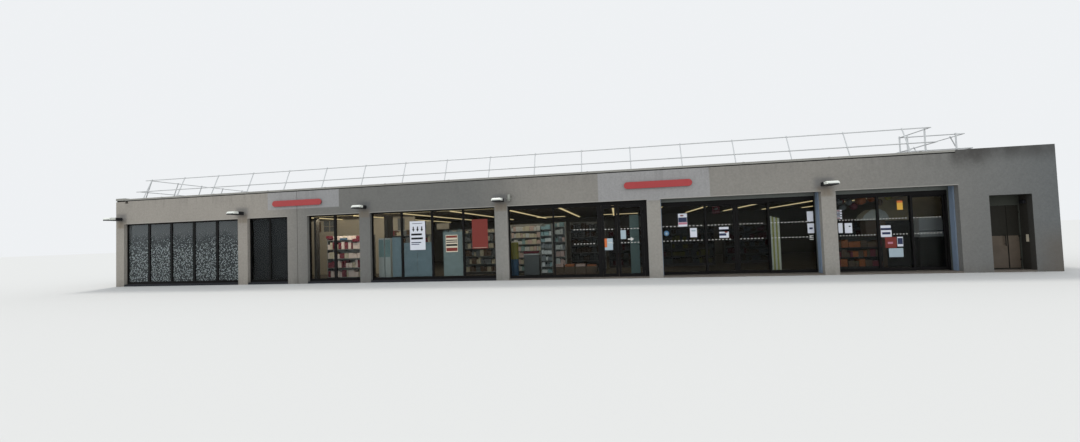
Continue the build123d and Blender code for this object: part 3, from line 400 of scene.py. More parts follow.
# Shapes: solids gathered in one mesh, in metres from the left end, behind the front and up
class Shape:
    def __init__(self, name, slot=None, body="building"):
        self.name, self.slot, self.body = name, slot, body
        self.mesh = bmesh.new()
        self.materials = []

    def paint(self, faces, material):
        if material not in self.materials:
            self.materials.append(material)
        for face in faces:
            face.material_index = self.materials.index(material)

    def skin(self, near, far, material):
        """Closes two rings of points into a solid and returns its faces."""
        faces = [self.mesh.faces.new(near), self.mesh.faces.new(list(reversed(far)))]
        for index in range(len(near)):
            after = (index + 1) % len(near)
            faces.append(self.mesh.faces.new((near[index], far[index], far[after], near[after])))
        bmesh.ops.recalc_face_normals(self.mesh, faces=faces)
        self.paint(faces, material)
        return faces

    def prism(self, outline, start, end, axis, material, bevel=0.0):
        """A closed outline carried from start to end along X, Y or Z."""
        def corner(first, second, along_axis):
            spot = {"X": (along_axis, first, second), "Y": (first, along_axis, second),
                    "Z": (first, second, along_axis)}[axis]
            return self.mesh.verts.new(at(*spot))

        faces = self.skin([corner(*point, start) for point in outline],
                          [corner(*point, end) for point in outline], material)
        if bevel:
            edges = list({edge for face in faces for edge in face.edges})
            made = bmesh.ops.bevel(self.mesh, geom=edges, offset=bevel, segments=2,
                                   profile=0.6, affect="EDGES")
            self.paint(made["faces"], material)
        return self

    def box(self, x, y, z, material, bevel=0.0):
        outline = [(x[0], y[0]), (x[1], y[0]), (x[1], y[1]), (x[0], y[1])]
        return self.prism(outline, z[0], z[1], "Z", material, bevel)

    def boxes(self, *rows):
        """Boxes, each given by the values that box takes."""
        for row in rows:
            self.box(*row)
        return self

    def tube(self, start, end, radius, material, sides=10):
        """A round bar between two points."""
        first, last = at(*start), at(*end)
        turn = (last - first).to_track_quat("Z", "Y").to_matrix()
        rings = [[self.mesh.verts.new(spot + turn @ Vector((
            radius * math.cos(math.tau * index / sides),
            radius * math.sin(math.tau * index / sides), 0))) for index in range(sides)]
            for spot in (first, last)]
        self.skin(*rings, material)
        return self

    def paper(self, x, z, y, material, curl=0.003, thickness=0.0012):
        """A sheet stuck to glass, a little wavy; its front face is at depth y."""
        columns, rows = 7, 5
        grid = []
        for layer in (0.0, thickness):
            grid.append([[self.mesh.verts.new(at(
                x[0] + (x[1] - x[0]) * i / (columns - 1),
                y + layer + curl * 0.5 * (1 - math.cos(2.4 * i + 1.7 * j + 9 * x[0])),
                z[0] + (z[1] - z[0]) * j / (rows - 1)))
                for i in range(columns)] for j in range(rows)])
        faces = []
        for sheet in grid:
            for j in range(rows - 1):
                for i in range(columns - 1):
                    faces.append(self.mesh.faces.new((sheet[j][i], sheet[j][i + 1],
                                                      sheet[j + 1][i + 1], sheet[j + 1][i])))
        front, back = grid
        rim = [(0, i) for i in range(columns)] + [(j, columns - 1) for j in range(1, rows)]
        rim += [(rows - 1, i) for i in range(columns - 2, -1, -1)]
        rim += [(j, 0) for j in range(rows - 2, 0, -1)]
        for (j, i), (l, k) in zip(rim, rim[1:] + rim[:1]):
            faces.append(self.mesh.faces.new((front[j][i], front[l][k], back[l][k], back[j][i])))
        bmesh.ops.recalc_face_normals(self.mesh, faces=faces)
        self.paint(faces, material)
        return self

    def ball(self, centre, radii, material, rings=8, sides=12):
        """A rounded form with its own radius on each axis."""
        middle = at(*centre)
        made = bmesh.ops.create_uvsphere(self.mesh, u_segments=sides, v_segments=rings,
                                         radius=1.0)["verts"]
        for vertex in made:
            vertex.co = middle + Vector([value * size for value, size in zip(vertex.co, radii)])
        faces = {face for vertex in made for face in vertex.link_faces}
        self.paint(faces, material)
        for face in faces:
            face.smooth = True
        return self

    def done(self):
        data = bpy.data.meshes.new(self.name)
        self.mesh.to_mesh(data)
        self.mesh.free()
        for material in self.materials:
            data.materials.append(looks[material])
        piece = bpy.data.objects.new(self.name, data)
        bpy.context.scene.collection.objects.link(piece)
        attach(piece, self.body)
        return piece


# Trim on the outside
def front_trim():
    """Dark strips painted as the shadow in the gap under the coping, in the end groove and in the
    overflow; joint covers.
    """
    cap_block_end, coping_end = 0.51, 35.0
    # Thin dark strips that stand in for the shadow under the coping, at the back of the end groove and
    # inside the overflow: painted shadow
    Shape("coping_shadow_gap").boxes(
        ((cap_block_end, coping_end), (-0.004, 0.0), (4.060, 4.0945), "dark_gap"),
        ((0.0, cap_block_end), (0.045, 0.06), (4.046, 4.104), "dark_gap"),
        ((0.532, 0.688), (0.10, 0.19), (3.952, 4.093), "dark_gap")).done()
    covers = Shape("coping_joint_covers", "coping_metal")
    front, back, low, top = -0.012, 0.216, 4.10, 4.178
    inner_front, inner_back, inner_top = -0.004, 0.210, 4.1725
    profile = [(front, low), (front, top), (back, top), (back, low), (inner_back, low),
               (inner_back, inner_top), (inner_front, inner_top), (inner_front, low)]
    first_joint, joint_pitch, cover_width = 2.6, 2.85, 0.07
    for index in range(12):
        station = first_joint + joint_pitch * index
        covers.prism(profile, station, station + cover_width, "X", "coping_metal")
    covers.done()


def red_bars():
    """Plain raised red bars with round ends, on stand-offs in the two sign places."""
    for name, start, end, low, high in (("sign_bar_right", 23.95, 26.45, 3.40, 3.66),
                                        ("sign_bar_left", 8.62, 11.05, 3.42, 3.68)):
        bar = Shape(name)
        radius, middle = (high - low) / 2, (low + high) / 2
        outline = []
        for centre, first_angle in ((end - radius, -math.pi / 2), (start + radius, math.pi / 2)):
            for index in range(9):
                angle = first_angle + math.pi * index / 8
                outline.append((centre + radius * math.cos(angle),
                                middle + radius * math.sin(angle)))
        bar.prism(outline, -0.075, -0.035, "Y", "sign_red", bevel=0.006)
        for station in (start + 0.2, (start + end) / 2, end - 0.2):
            bar.tube((station, -0.036, middle), (station, 0.0, middle), 0.015, "fixing_steel")
        bar.done()


def lamp_hoods():
    """White hoods curved down at the front, with end cheeks and a grey lens below them."""
    shape = Shape("lamp_hoods", "lamp_bowl")
    for head in solids("wall_lamp_heads"):
        (left, right), (front, back), (bottom, top) = spans(head)
        curve = [(back, bottom + 0.004), (back, top)]
        for index in range(7):
            angle = math.pi / 2 * index / 6
            curve.append((front + 0.10 - 0.10 * math.sin(angle),
                          top - 0.075 + 0.075 * math.cos(angle)))
        curve.append((front, bottom + 0.018))
        curve += [(front + 0.012, bottom + 0.018), (front + 0.03, bottom + 0.004)]
        shape.prism(curve, left + 0.035, right - 0.035, "X", "lamp_bowl")
        for side, inner in ((left, left + 0.035), (right, right - 0.035)):
            cheek = [(back, bottom), (back, top - 0.012)]
            cheek += [(front + 0.10, top - 0.012), (front + 0.045, top - 0.038),
                      (front + 0.012, bottom + 0.035), (front + 0.012, bottom)]
            shape.prism(cheek, min(side, inner), max(side, inner), "X", "lamp_bowl",
                        bevel=0.004)
        shape.prism([(front + 0.004, bottom), (front + 0.004, bottom + 0.016),
                     (back, bottom + 0.003), (back, bottom)],
                    left + 0.036, right - 0.036, "X", "grey_glass")
    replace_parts(shape.done(), "wall_lamp_heads")


def camera_details():
    """Dark lens windows round the rim of the dome camera."""
    low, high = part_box("camera")
    centre_x, centre_y = (low.x + high.x) / 2 - left_end, low.y + 0.095 - facade
    ring_radius = 0.084
    rim = Shape("camera_windows")
    for index in range(8):
        angle = math.tau * (index + 0.5) / 8
        x, y = centre_x + ring_radius * math.cos(angle), centre_y + ring_radius * math.sin(angle)
        rim.tube((x, y, 3.222), (x, y, 3.2355), 0.016, "black_ink", sides=8)
    rim.done()


def guardrail_fittings():
    """Collars where the rails meet the posts, bolts on the brackets and on the foot plates."""
    collars = Shape("guardrail_collars", "rail_metal")
    middle, top = 4.555, 5.125
    collar, bolt = 0.027, 0.009

    def bar(ends, along_x, radius, material, sides):
        """A bar of a run; without along_x its run goes along Y, so that X and Y change places."""
        if not along_x:
            ends = [(y, x, z) for x, y, z in ends]
        collars.tube(*ends, radius, material, sides=sides)

    def fit(posts, wall, inward, along_x, shift=0.0):
        """Fittings of a leaning run; inward is 1 or -1 on the axis that it doesn't run along."""
        for post in posts:
            for offset, height in ((0.28, middle), (0.522, top)):
                depth = wall + inward * (offset + shift)
                bar([(post - 0.035, depth, height), (post + 0.035, depth, height)], along_x,
                    collar, "rail_metal", 8)
            for side in (-0.035, 0.035):
                bar([(post + side, wall + inward * 0.016, 4.08),
                     (post + side, wall + inward * 0.002, 4.08)], along_x, bolt, "fixing_steel", 6)

    fit([1.160 + 1.925 * index for index in range(18)], 0.2, 1, True)
    fit([36.718 - 1.97755 * index for index in range(19)], 14.8, -1, True)
    fit([13.878 - 1.3038 * index for index in range(11)], 0.2, 1, False, shift=0.28)
    fit([3.10 + 2.1556 * index for index in range(6)], 37.64, -1, False, shift=0.13)
    for x, y in ((34.778, 1.02), (34.778, 2.422), (35.05, 2.422), (36.71, 2.422)):
        for height in (middle, top):
            reach = (0.0, 0.04, 0.0) if x < 35 else (0.04, 0.0, 0.0)
            collars.tube((x - reach[0], y - reach[1], height),
                         (x + reach[0], y + reach[1], height), collar, "rail_metal", sides=8)
        for side in ((-0.052, -0.052), (0.052, -0.052), (0.052, 0.052), (-0.052, 0.052)):
            spot = (x + side[0], y + side[1])
            collars.tube((*spot, 3.884), (*spot, 3.902), bolt, "fixing_steel", sides=6)
    collars.done()


def roof_laps():
    """Lapped edges of the felt rolls across the roof, each a few millimetres proud."""
    laps = Shape("felt_laps", "roof_felt")
    roll_width = 0.95
    for low, high in solids("roof_covering"):
        x, width = low.x - left_end + roll_width, high.x - low.x
        if width < 20:
            continue
        y = (low.y - facade + 0.16, high.y - facade - 0.16)
        while x < width - 2.4:
            laps.box((x, x + 0.09), y, (3.879, 3.885), "roof_felt")
            x += roll_width
    laps.done()


service_lining = spans(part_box("service_recess_lining"))[0][1] - 0.10


def service_door_reflections_and_lamp():
    """Thin brown panels with a painted reflection of the lit ground on the lower part of the leaves,
    and the small lamp on the lining.
    """
    for side, left_gap, right_gap in (("left", 0.03, 0.012), ("right", 0.012, 0.03)):
        start, end = spans(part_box(f"service_door_{side}_leaf"))[0]
        # Each panel carries the painted reflection of the lit ground that the glossy leaf shows low
        # down
        Shape(f"service_{side}_board", body=f"service_{side}_door").box(
            (start + left_gap, end - right_gap), (0.4868, 0.4902), (0.10, 1.19), "painted_reflection",
            bevel=0.001).done()
    Shape("service_lamp").boxes(
        ((service_lining - 0.085, service_lining - 0.004), (0.23, 0.38), (2.27, 2.37), "black_ink",
         0.012),
        ((service_lining - 0.006, service_lining), (0.24, 0.37), (2.28, 2.36), "fixing_steel")).done()


front_trim()
red_bars()
lamp_hoods()
camera_details()
guardrail_fittings()
roof_laps()
service_door_reflections_and_lamp()


# Window dressing: sheets, films and stickers stand on the inner or outer face of the glass
shop_face = 0.1812
screen_face = shop_face - 0.0225
entrance_face = 0.4935
film_depth = (shop_face, shop_face + 0.0006)


def bay_a_film():
    """Five lengths of privacy film on the inside of the bay at the left end."""
    shape = Shape("bay_a_film")
    for pane in solids("shop_window_glass")[:5]:
        start, end = spans(pane)[0]
        shape.box((start + 0.02, end - 0.02), film_depth, (0.20, 2.905), "leaf_film")
    shape.done()


def bay_d_films():
    """Pale blue films of bay D; the last one has a jagged top."""
    films = Shape("bay_d_films")
    for x, top, finish in (((14.20, 14.62), 1.88, "blue_film"), ((14.74, 15.335), 1.63, "blue_film"),
                           ((15.345, 15.985), 1.63, "blue_film"),
                           ((16.50, 17.34), 2.02, "pale_film")):
        films.box(x, film_depth, (0.21, top), finish)
    rough = random.Random(5)
    for index in range(13):
        x = 16.52 + 0.063 * index
        rise = 2.04 + 0.10 * rough.random() + (0.05 if index > 8 else 0.0)
        films.prism([(x, 2.015), (x + 0.05, 2.015), (x + 0.02 + 0.02 * rough.random(), rise)],
                    *film_depth, "Y", "pale_film")
    films.done()


def bay_d_posters():
    """Posters of bay D; their print is plain arrows, blocks and bars."""
    outer = 0.1565
    ink = outer - 0.0015
    ink_depth = (ink, outer - 0.0005)
    posters = Shape("bay_d_posters")
    posters.paper((15.03, 15.72), (1.32, 2.53), outer, "white_paper")
    for index in range(3):
        x = 15.13 + 0.19 * index
        posters.prism([(x, 2.19), (x + 0.06, 2.09), (x + 0.12, 2.19), (x + 0.085, 2.19),
                       (x + 0.085, 2.30), (x + 0.035, 2.30), (x + 0.035, 2.19)],
                      ink, ink + 0.001, "Y", "black_ink")
    for low, high, width, finish in (
            (1.93, 2.01, 0.48, "black_ink"), (1.76, 1.84, 0.52, "black_ink"),
            (1.61, 1.65, 0.44, "navy_ink"), (1.54, 1.57, 0.36, "navy_ink")):
        posters.box((15.09, 15.09 + width), ink_depth, (low, high), finish)
    posters.box((15.14, 15.60), ink_depth, (2.42, 2.44), "navy_ink")
    posters.paper((16.62, 17.14), (1.19, 1.90), outer, "cream_paper")
    for low, high, finish in ((1.78, 1.87, "red_paper"), (1.66, 1.70, "black_ink"),
                              (1.58, 1.62, "black_ink"), (1.44, 1.52, "black_ink"),
                              (1.23, 1.37, "red_paper")):
        posters.box((16.64, 17.12), ink_depth, (low, high), finish)
    posters.paper((17.77, 18.44), (1.30, 2.50), outer, "red_paper")
    posters.box((17.81, 18.40), ink_depth, (1.335, 1.345), "cream_paper")
    posters.done()


def dashes(shape, x, z, face, pitch):
    """A broken line of small white stickers that marks the glass."""
    station, length = x[0], 0.45 * pitch
    while station + length <= x[1]:
        shape.box((station, station + length), (face - 0.0008, face), (z, z + 0.028),
                  "white_vinyl")
        station += pitch


def manifestation():
    """Broken lines at two heights on the glass of bays E, F and G."""
    low_line, high_line, leaf_high_line = 1.345, 1.905, 1.88
    fixed = Shape("glass_markings")
    panes = [spans(pane)[0] for pane in solids("fixed_screen_glass")]
    for (start, end), pitch in zip(panes[2:], (0.140, 0.118, 0.100, 0.100)):
        for z in (low_line, high_line):
            dashes(fixed, (start + 0.04, end - 0.04), z, entrance_face, pitch)
    for z in (low_line, high_line):
        dashes(fixed, (21.95, 22.85), z, screen_face, 0.125)
    fixed.done()
    for door, body, pitch, margin, upper in (
            ("way_out_left", "way_out_left_door", 0.125, 0.05, high_line),
            ("way_out_right", "way_out_right_door", 0.125, 0.05, high_line),
            ("way_in", "way_in_door", 0.100, 0.05, high_line),
            ("exit_door_narrow", "exit_narrow_door", 0.125, 0.04, leaf_high_line),
            ("exit_door_wide", "exit_wide_door", 0.125, 0.04, leaf_high_line)):
        (start, end), (face, _), _ = spans(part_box(door + "_glass"))
        marks = Shape(door + "_glass_markings", body=body)
        for z in (low_line, upper):
            dashes(marks, (start + margin, end - margin), z, face, pitch)
        marks.done()


def notice(shape, y, x, z, finish, *prints, curl=0.003):
    """A paper on the glass with plain blocks of print, each given by its x, z and finish."""
    shape.paper(x, z, y, finish, curl)
    for print_x, print_z, ink in prints:
        shape.box(print_x, (y - 0.0014, y - 0.0006), print_z, ink)


def door_notices():
    """Notices on the doors, on the fixed glass beside them and on the service lining."""
    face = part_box("exit_door_narrow_glass")[0].y - facade - 0.004
    narrow = Shape("narrow_leaf_notice", body="exit_narrow_door")
    notice(narrow, face, (23.13, 23.45), (1.09, 1.54), "pale_blue_paper",
           ((23.13, 23.23), (1.20, 1.54), "orange_ink"),
           ((23.26, 23.42), (1.36, 1.39), "white_vinyl"), curl=0.002)
    narrow.done()
    wide = Shape("wide_leaf_notices", body="exit_wide_door")
    notice(wide, face, (23.76, 23.96), (1.50, 1.84), "pale_blue_paper", curl=0.002)
    wide.prism([(24.03, 1.465), (24.14, 1.465), (24.14, 1.41), (24.26, 1.49), (24.14, 1.57),
                (24.14, 1.515), (24.03, 1.515)], face + 0.003, face + 0.004, "Y", "white_vinyl")
    wide.done()

    fixed = Shape("entrance_notices")
    y = entrance_face - 0.004
    notice(fixed, y, (25.96, 26.29), (1.90, 2.40), "white_paper",
           ((25.97, 26.28), (2.07, 2.25), "navy_ink"), ((25.97, 26.28), (1.98, 2.06), "pink_ink"))
    fixed.ball((26.10, y - 0.001, 2.32), (0.07, 0.0012, 0.028), "red_paper")
    notice(fixed, y, (26.38, 26.63), (1.48, 1.83), "white_paper",
           ((26.43, 26.58), (1.70, 1.76), "pale_blue_paper"))
    fixed.ball((25.505, y, 1.66), (0.10, 0.0015, 0.10), "blue_ink")
    fixed.ball((25.505, y - 0.0015, 1.65), (0.045, 0.0015, 0.05), "pale_blue_paper")
    notice(fixed, y, (30.50, 30.71), (1.92, 2.29), "white_paper")
    notice(fixed, y, (30.50, 30.72), (1.49, 1.85), "white_paper",
           ((30.56, 30.67), (1.63, 1.70), "navy_ink"))
    for z in (1.25, 1.31, 1.38):
        fixed.box((30.55, 30.68), (y - 0.0005, y + 0.003), (z, z + 0.03), "white_vinyl")
    for z, ink in ((1.97, "red_paper"), (2.06, "navy_ink"), (2.15, "navy_ink"), (2.24, "red_paper")):
        fixed.box((31.50, 31.66), (y, y + 0.0012), (z, z + 0.06), "white_paper")
        fixed.box((31.50, 31.60), (y - 0.0014, y - 0.0006), (z + 0.012, z + 0.045), ink)
    for x, z, finish, *prints in (
            ((31.52, 31.66), (1.46, 1.82), "white_paper"),
            ((31.73, 31.97), (1.45, 1.81), "white_paper", ((31.86, 31.92), (1.67, 1.71), "black_ink")),
            ((33.44, 33.62), (2.22, 2.54), "yellow_ink", ((33.44, 33.62), (2.47, 2.54), "orange_ink")),
            ((32.88, 33.22), (1.27, 1.51), "white_paper", ((32.92, 33.18), (1.36, 1.44), "navy_ink")),
            ((32.88, 33.20), (1.53, 1.68), "white_paper", ((32.88, 33.20), (1.53, 1.59), "navy_ink")),
            ((33.00, 33.36), (0.88, 1.26), "red_paper", ((33.08, 33.24), (1.02, 1.09), "pink_ink")),
            ((33.38, 33.56), (0.92, 1.26), "white_paper", ((33.39, 33.55), (1.00, 1.22), "navy_ink")),
            ((33.10, 33.55), (0.55, 0.86), "pale_blue_paper")):
        notice(fixed, y, x, z, finish, *prints)
    fixed.done()

    leaf = Shape("way_out_leaf_stickers", body="way_out_left_door")
    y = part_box("way_out_left_glass")[0].y - facade
    sticker, ink_depth = (y - 0.001, y), (y - 0.0016, y - 0.001)
    for z in ((1.42, 1.65), (1.72, 1.83)):
        leaf.box((27.45, 27.79), sticker, z, "white_paper")
    leaf.box((27.45, 27.70), ink_depth, (1.50, 1.59), "navy_ink")
    leaf.box((27.45, 27.79), ink_depth, (1.72, 1.745), "navy_ink")
    leaf.ball((27.70, y - 0.0016, 1.635), (0.06, 0.001, 0.03), "red_paper")
    leaf.done()

    Shape("service_door_notice").box((service_lining - 0.0012, service_lining), (0.22, 0.32),
                                     (0.98, 1.22), "cream_paper").done()


# What shows through the glass
def gondola(name, x, y, z, colours, seed, step=0.36, stock="goods", metal="shelf_metal"):
    """Open shelving with rows of plain goods; y gives its front and its back, z its top."""
    shape = Shape(name)
    order = random.Random(seed)
    tones = colours.split()
    foot, reflection, cheek, back = 0.16, 0.018, 0.025, y[1] - 0.02
    shape.box(x, (back, y[1]), (floor, z), metal)
    shape.box(x, y, (floor, foot), "shelf_dark")
    for side in (x[0], x[1] - cheek):
        shape.box((side, side + cheek), (y[0] + 0.03, back), (foot, z), metal)
    level = foot
    while level < z - 0.12:
        standing = level + reflection
        shape.box((x[0] + cheek, x[1] - cheek), (y[0], back), (level, standing), metal)
        place = x[0] + 0.04
        while place < x[1] - 0.08:
            end = min(place + order.uniform(0.07, 0.24), x[1] - 0.035)
            top = standing + order.uniform(0.5, 0.88) * min(step - 0.03, z - level)
            shape.box((place, end), (y[0] + order.uniform(0.01, 0.06), y[1] - 0.04),
                      (standing, top), f"{stock}_{order.choice(tones)}", bevel=0.006)
            place = end + 0.012
        level += step
    shape.done()


def hang(shape, xs, y, z):
    """Thin wires from the ceiling down to a thing that hangs."""
    for x in xs:
        shape.tube((x, y, z), (x, y, ceiling), 0.003, "fixing_steel", sides=6)


def inner_wall():
    """The pale wall behind bays C and D, with a dark window, a small box and a board on it."""
    hole_x, hole_z = (8.10, 8.80), (2.35, 2.93)
    face, back = 4.0, 4.08
    y, bars = (face, back), (face + 0.01, face + 0.03)
    Shape("inner_wall").boxes(
        ((6.9, hole_x[0]), y, (floor, ceiling), "inner_wall_paint"),
        ((hole_x[1], 13.35), y, (floor, ceiling), "inner_wall_paint"),
        (hole_x, y, (floor, hole_z[0]), "inner_wall_paint"),
        (hole_x, y, (hole_z[1], ceiling), "inner_wall_paint"),
        (hole_x, (face + 0.03, back), hole_z, "goods_grey"),
        ((8.44, 8.47), bars, hole_z, "inner_wall_paint"),
        (hole_x, bars, (2.62, 2.645), "inner_wall_paint"),
        ((7.70, 7.95), (face - 0.06, face), (2.36, 2.88), "goods_brown", 0.008),
        ((12.42, 12.80), (face - 0.012, face), (2.20, 2.90), "goods_grey")).done()


def bay_b_blind():
    """A closed blind of upright slats behind bay B."""
    blind = Shape("bay_b_blind")
    first_slat, pitch, count = 6.905, 0.088, 27
    blind.box((6.90, 9.29), (0.34, 0.40), (2.86, 2.93), "blind_cloth", bevel=0.006)
    for index in range(count):
        x = first_slat + pitch * index
        blind.prism([(x, 0.352), (x + 0.080, 0.366), (x + 0.079, 0.3685), (x - 0.001, 0.3545)],
                    0.10, 2.87, "Z", "blind_cloth")
    blind.done()


def bay_c_and_d_inside():
    """Dark cupboards at the edges, shelving, two cabinets and boards that hang."""
    Shape("dark_cupboards").boxes(
        ((10.30, 10.40), (0.42, 0.66), (floor, 2.9), "shelf_dark", 0.01),
        ((13.40, 13.56), (0.95, 1.45), (floor, 2.9), "shelf_dark", 0.01)).done()
    gondola("pink_shelving", (10.52, 12.72), (0.95, 1.35), 2.05, "blush blush cream blush wine",
            3, step=0.42)
    band = (0.93, 0.947)
    Shape("shelf_bands").boxes(
        ((10.52, 10.84), band, (1.94, 2.06), "goods_wine", 0.003),
        ((11.20, 11.58), band, (1.86, 1.94), "goods_blue", 0.003),
        ((11.84, 12.30), band, (1.76, 1.90), "goods_wine", 0.003)).done()
    cabinet = Shape("display_cabinets")
    for x0 in (13.42, 13.72):
        cabinet.box((x0, x0 + 0.27), (0.42, 0.80), (floor, 1.86), "goods_white",
                    bevel=0.012)
        for z, colour in (((1.05, 1.80), "teal"), ((0.30, 1.00), "white")):
            cabinet.box((x0 + 0.02, x0 + 0.25), (0.412, 0.42), z, "goods_" + colour, bevel=0.003)
    cabinet.done()
    gondola("bay_d_shelving", (12.9, 15.0), (2.2, 2.6), 2.25, "brown cream grey brown wine", 8)
    gondola("bay_d_shelving_right", (16.0, 18.4), (2.4, 2.8), 2.15,
            "brown grey cream grey cream", 11)
    reflection = Shape("hung_boards")
    reflection.box((15.00, 15.63), (3.0, 3.02), (2.22, 2.50), "inner_wall_paint", bevel=0.003)
    reflection.box((15.28, 15.56), (1.2, 1.22), (1.98, 2.56), "goods_cream", bevel=0.003)
    hang(reflection, (15.08, 15.55), 3.01, 2.49)
    hang(reflection, (15.32, 15.52), 1.21, 2.55)
    reflection.done()


def bay_e_inside():
    """A bin, shelving, crates, a low freezer and a green panel."""
    bin_ = Shape("olive_bin")
    middle_x, middle_y, radius, joint, sides = 19.39, 0.78, 0.165, 0.80, 16
    for reach, low, high, finish, bevel in ((radius, joint, 1.50, "goods_olive", 0.02),
                                            (0.95 * radius, floor, joint, "goods_blue", 0.01)):
        angles = [math.tau * index / sides for index in range(sides)]
        bin_.prism([(middle_x + reach * math.cos(angle), middle_y + reach * math.sin(angle))
                    for angle in angles], low, high, "Z", finish, bevel)
    bin_.done()
    gondola("bay_e_shelving_left", (18.8, 20.3), (2.5, 2.95), 2.30,
            "white teal white cream cream pink", 21, step=0.3, stock="lit_goods")
    gondola("bay_e_column", (20.42, 20.92), (1.15, 1.60), 2.24, "teal white teal white grey", 22,
            step=0.26, stock="lit_goods")
    gondola("bay_e_shelving_middle", (20.98, 21.45), (1.5, 1.95), 2.30,
            "teal white pink white grey", 23, step=0.32)
    gondola("bay_e_shelving_right", (21.5, 23.1), (3.0, 3.45), 2.30, "brown grey grey brown grey",
            24, stock="dim_goods", metal="shelf_grey")
    gondola("bay_e_shelving_far", (23.2, 26.2), (4.6, 5.1), 2.0, "brown grey wine grey", 25,
            stock="dim_goods", metal="shelf_dark")
    crates = Shape("bay_e_crates")
    order = random.Random(26)
    for index in range(4):
        x = 21.02 + 0.445 * index
        crates.box((x, x + 0.43), (0.62, 1.02), (floor, 0.44), "goods_brown", bevel=0.01)
        crates.box((x + 0.03, x + 0.40), (0.65, 0.99), (0.44, 0.50 + 0.06 * order.random()),
                   "goods_" + order.choice(("pink", "orange", "wine")), bevel=0.02)
    crates.done()
    width = (19.62, 20.30)
    Shape("low_freezer").boxes(
        (width, (1.45, 2.15), (floor, 0.92), "goods_grey", 0.02),
        (width, (1.44, 1.452), (0.98, 1.09), "goods_wine", 0.003),
        (width, (1.445, 2.15), (0.92, 0.99), "goods_white", 0.004)).done()
    Shape("green_panel").box((24.14, 24.50), (1.1, 1.16), (floor, 2.45), "goods_teal",
                             bevel=0.006).done()


def bays_f_and_g_inside():
    """A striped banner, a sign, shelving, a pale hood, lanterns and the boards at the back."""
    banner = Shape("striped_banner")
    stripe = 0.066
    banner.box((29.33, 29.73), (0.80, 1.0), (floor, 0.12), "shelf_dark", bevel=0.01)
    for index in range(5):
        x = 29.36 + stripe * index
        banner.box((x, x + stripe), (0.89, 0.896), (0.12, 2.10 + 0.02 * (4 - index)),
                   "banner_olive" if index % 2 else "banner_pale")
    banner.done()
    sign = Shape("hung_signs")
    sign.box((27.54, 27.84), (2.0, 2.02), (2.40, 2.70), "goods_wine", bevel=0.003)
    sign.ball((27.68, 1.997, 2.60), (0.08, 0.003, 0.05), "goods_grey")
    hang(sign, (27.6, 27.78), 2.01, 2.69)
    sign.done()
    for name, x, y, z, colours, seed in (
            ("bay_f_shelving_left", (25.4, 28.2), (5.0, 5.5), 1.9, "brown grey olive", 31),
            ("bay_f_shelving_right", (28.9, 31.4), (6.0, 6.5), 1.9, "brown wine grey", 32),
            ("bay_g_shelving_back", (32.6, 35.4), (4.2, 4.7), 2.0, "brown wine grey olive", 34)):
        gondola(name, x, y, z, colours, seed, stock="dim_goods", metal="shelf_dark")
    gondola("bay_g_shelving_low", (31.5, 33.3), (1.2, 1.6), 1.28, "brown wine orange brown", 33,
            metal="shelf_dark")
    hood = Shape("pale_hood")
    hood.prism([(33.04, 1.90), (34.02, 1.90), (34.00, 2.05), (33.90, 2.22), (33.70, 2.33),
                (33.40, 2.30), (33.16, 2.12)], 2.0, 2.5, "Y", "goods_white", bevel=0.03)
    hood.box((33.2, 33.9), (2.05, 2.45), (floor, 1.90), "goods_brown", bevel=0.02)
    hood.done()
    lanterns = Shape("hung_lanterns")
    for x, y, z, size, colour in (
            (31.95, 1.3, 2.62, 0.12, "grey"), (32.32, 1.35, 2.60, 0.12, "grey"),
            (32.12, 1.4, 2.42, 0.12, "grey"), (32.14, 1.5, 2.66, 0.10, "wine"),
            (32.70, 1.3, 2.66, 0.18, "orange"), (32.55, 1.5, 2.45, 0.14, "wine"),
            (33.10, 1.4, 2.70, 0.13, "orange"), (33.42, 1.5, 2.56, 0.12, "brown"),
            (33.62, 1.3, 2.72, 0.11, "olive")):
        lanterns.ball((x, y, z), (size, size, size), "goods_" + colour)
        hang(lanterns, (x,), y, z + size * 0.9)
    lanterns.done()
    board_x, counter_x = (33.75, 36.70), (34.76, 35.60)
    Shape("bay_g_back_boards").boxes(
        (board_x, (2.30, 2.33), (1.86, 2.92), "olive_board", 0.004),
        (board_x, (2.28, 2.34), (floor, 1.86), "shelf_dark", 0.004),
        (counter_x, (1.60, 1.90), (1.20, 1.92), "counter_grey", 0.012),
        (counter_x, (1.592, 1.61), (1.405, 1.43), "shelf_dark", 0.002),
        (counter_x, (1.64, 1.88), (floor, 1.20), "shelf_dark", 0.012)).done()


def light_strips():
    """Ceiling strips: long ones into the depth of the hall, cross ones near the front."""
    shape = Shape("light_strips", "light_diffuser")
    first, pitch, half_width, rim = 2.06, 2.38, 0.05, 0.008

    def strip(x, y):
        shape.box(x, y, (2.955, 2.985), "light_diffuser", bevel=0.004)
        shape.box((x[0] - rim, x[1] + rim), (y[0] - rim, y[1] + rim), (2.984, ceiling),
                  "lamp_bowl")

    for index in range(15):
        x = first + pitch * index
        strip((x - half_width, x + half_width), (1.5, 13.3))
    for start, end in ((9.9, 12.5), (13.4, 15.7), (15.9, 18.6), (19.2, 20.9), (21.1, 22.8)):
        strip((start, end), (0.93, 1.02))
    strip((7.1, 9.1), (6.9, 7.0))
    strip((18.4, 20.3), (11.5, 11.6))
    strip((22.7, 25.0), (11.3, 11.4))
    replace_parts(shape.done(), "ceiling_lights")


bay_a_film()
bay_d_films()
bay_d_posters()
manifestation()
door_notices()
inner_wall()
bay_b_blind()
bay_c_and_d_inside()
bay_e_inside()
bays_f_and_g_inside()
light_strips()


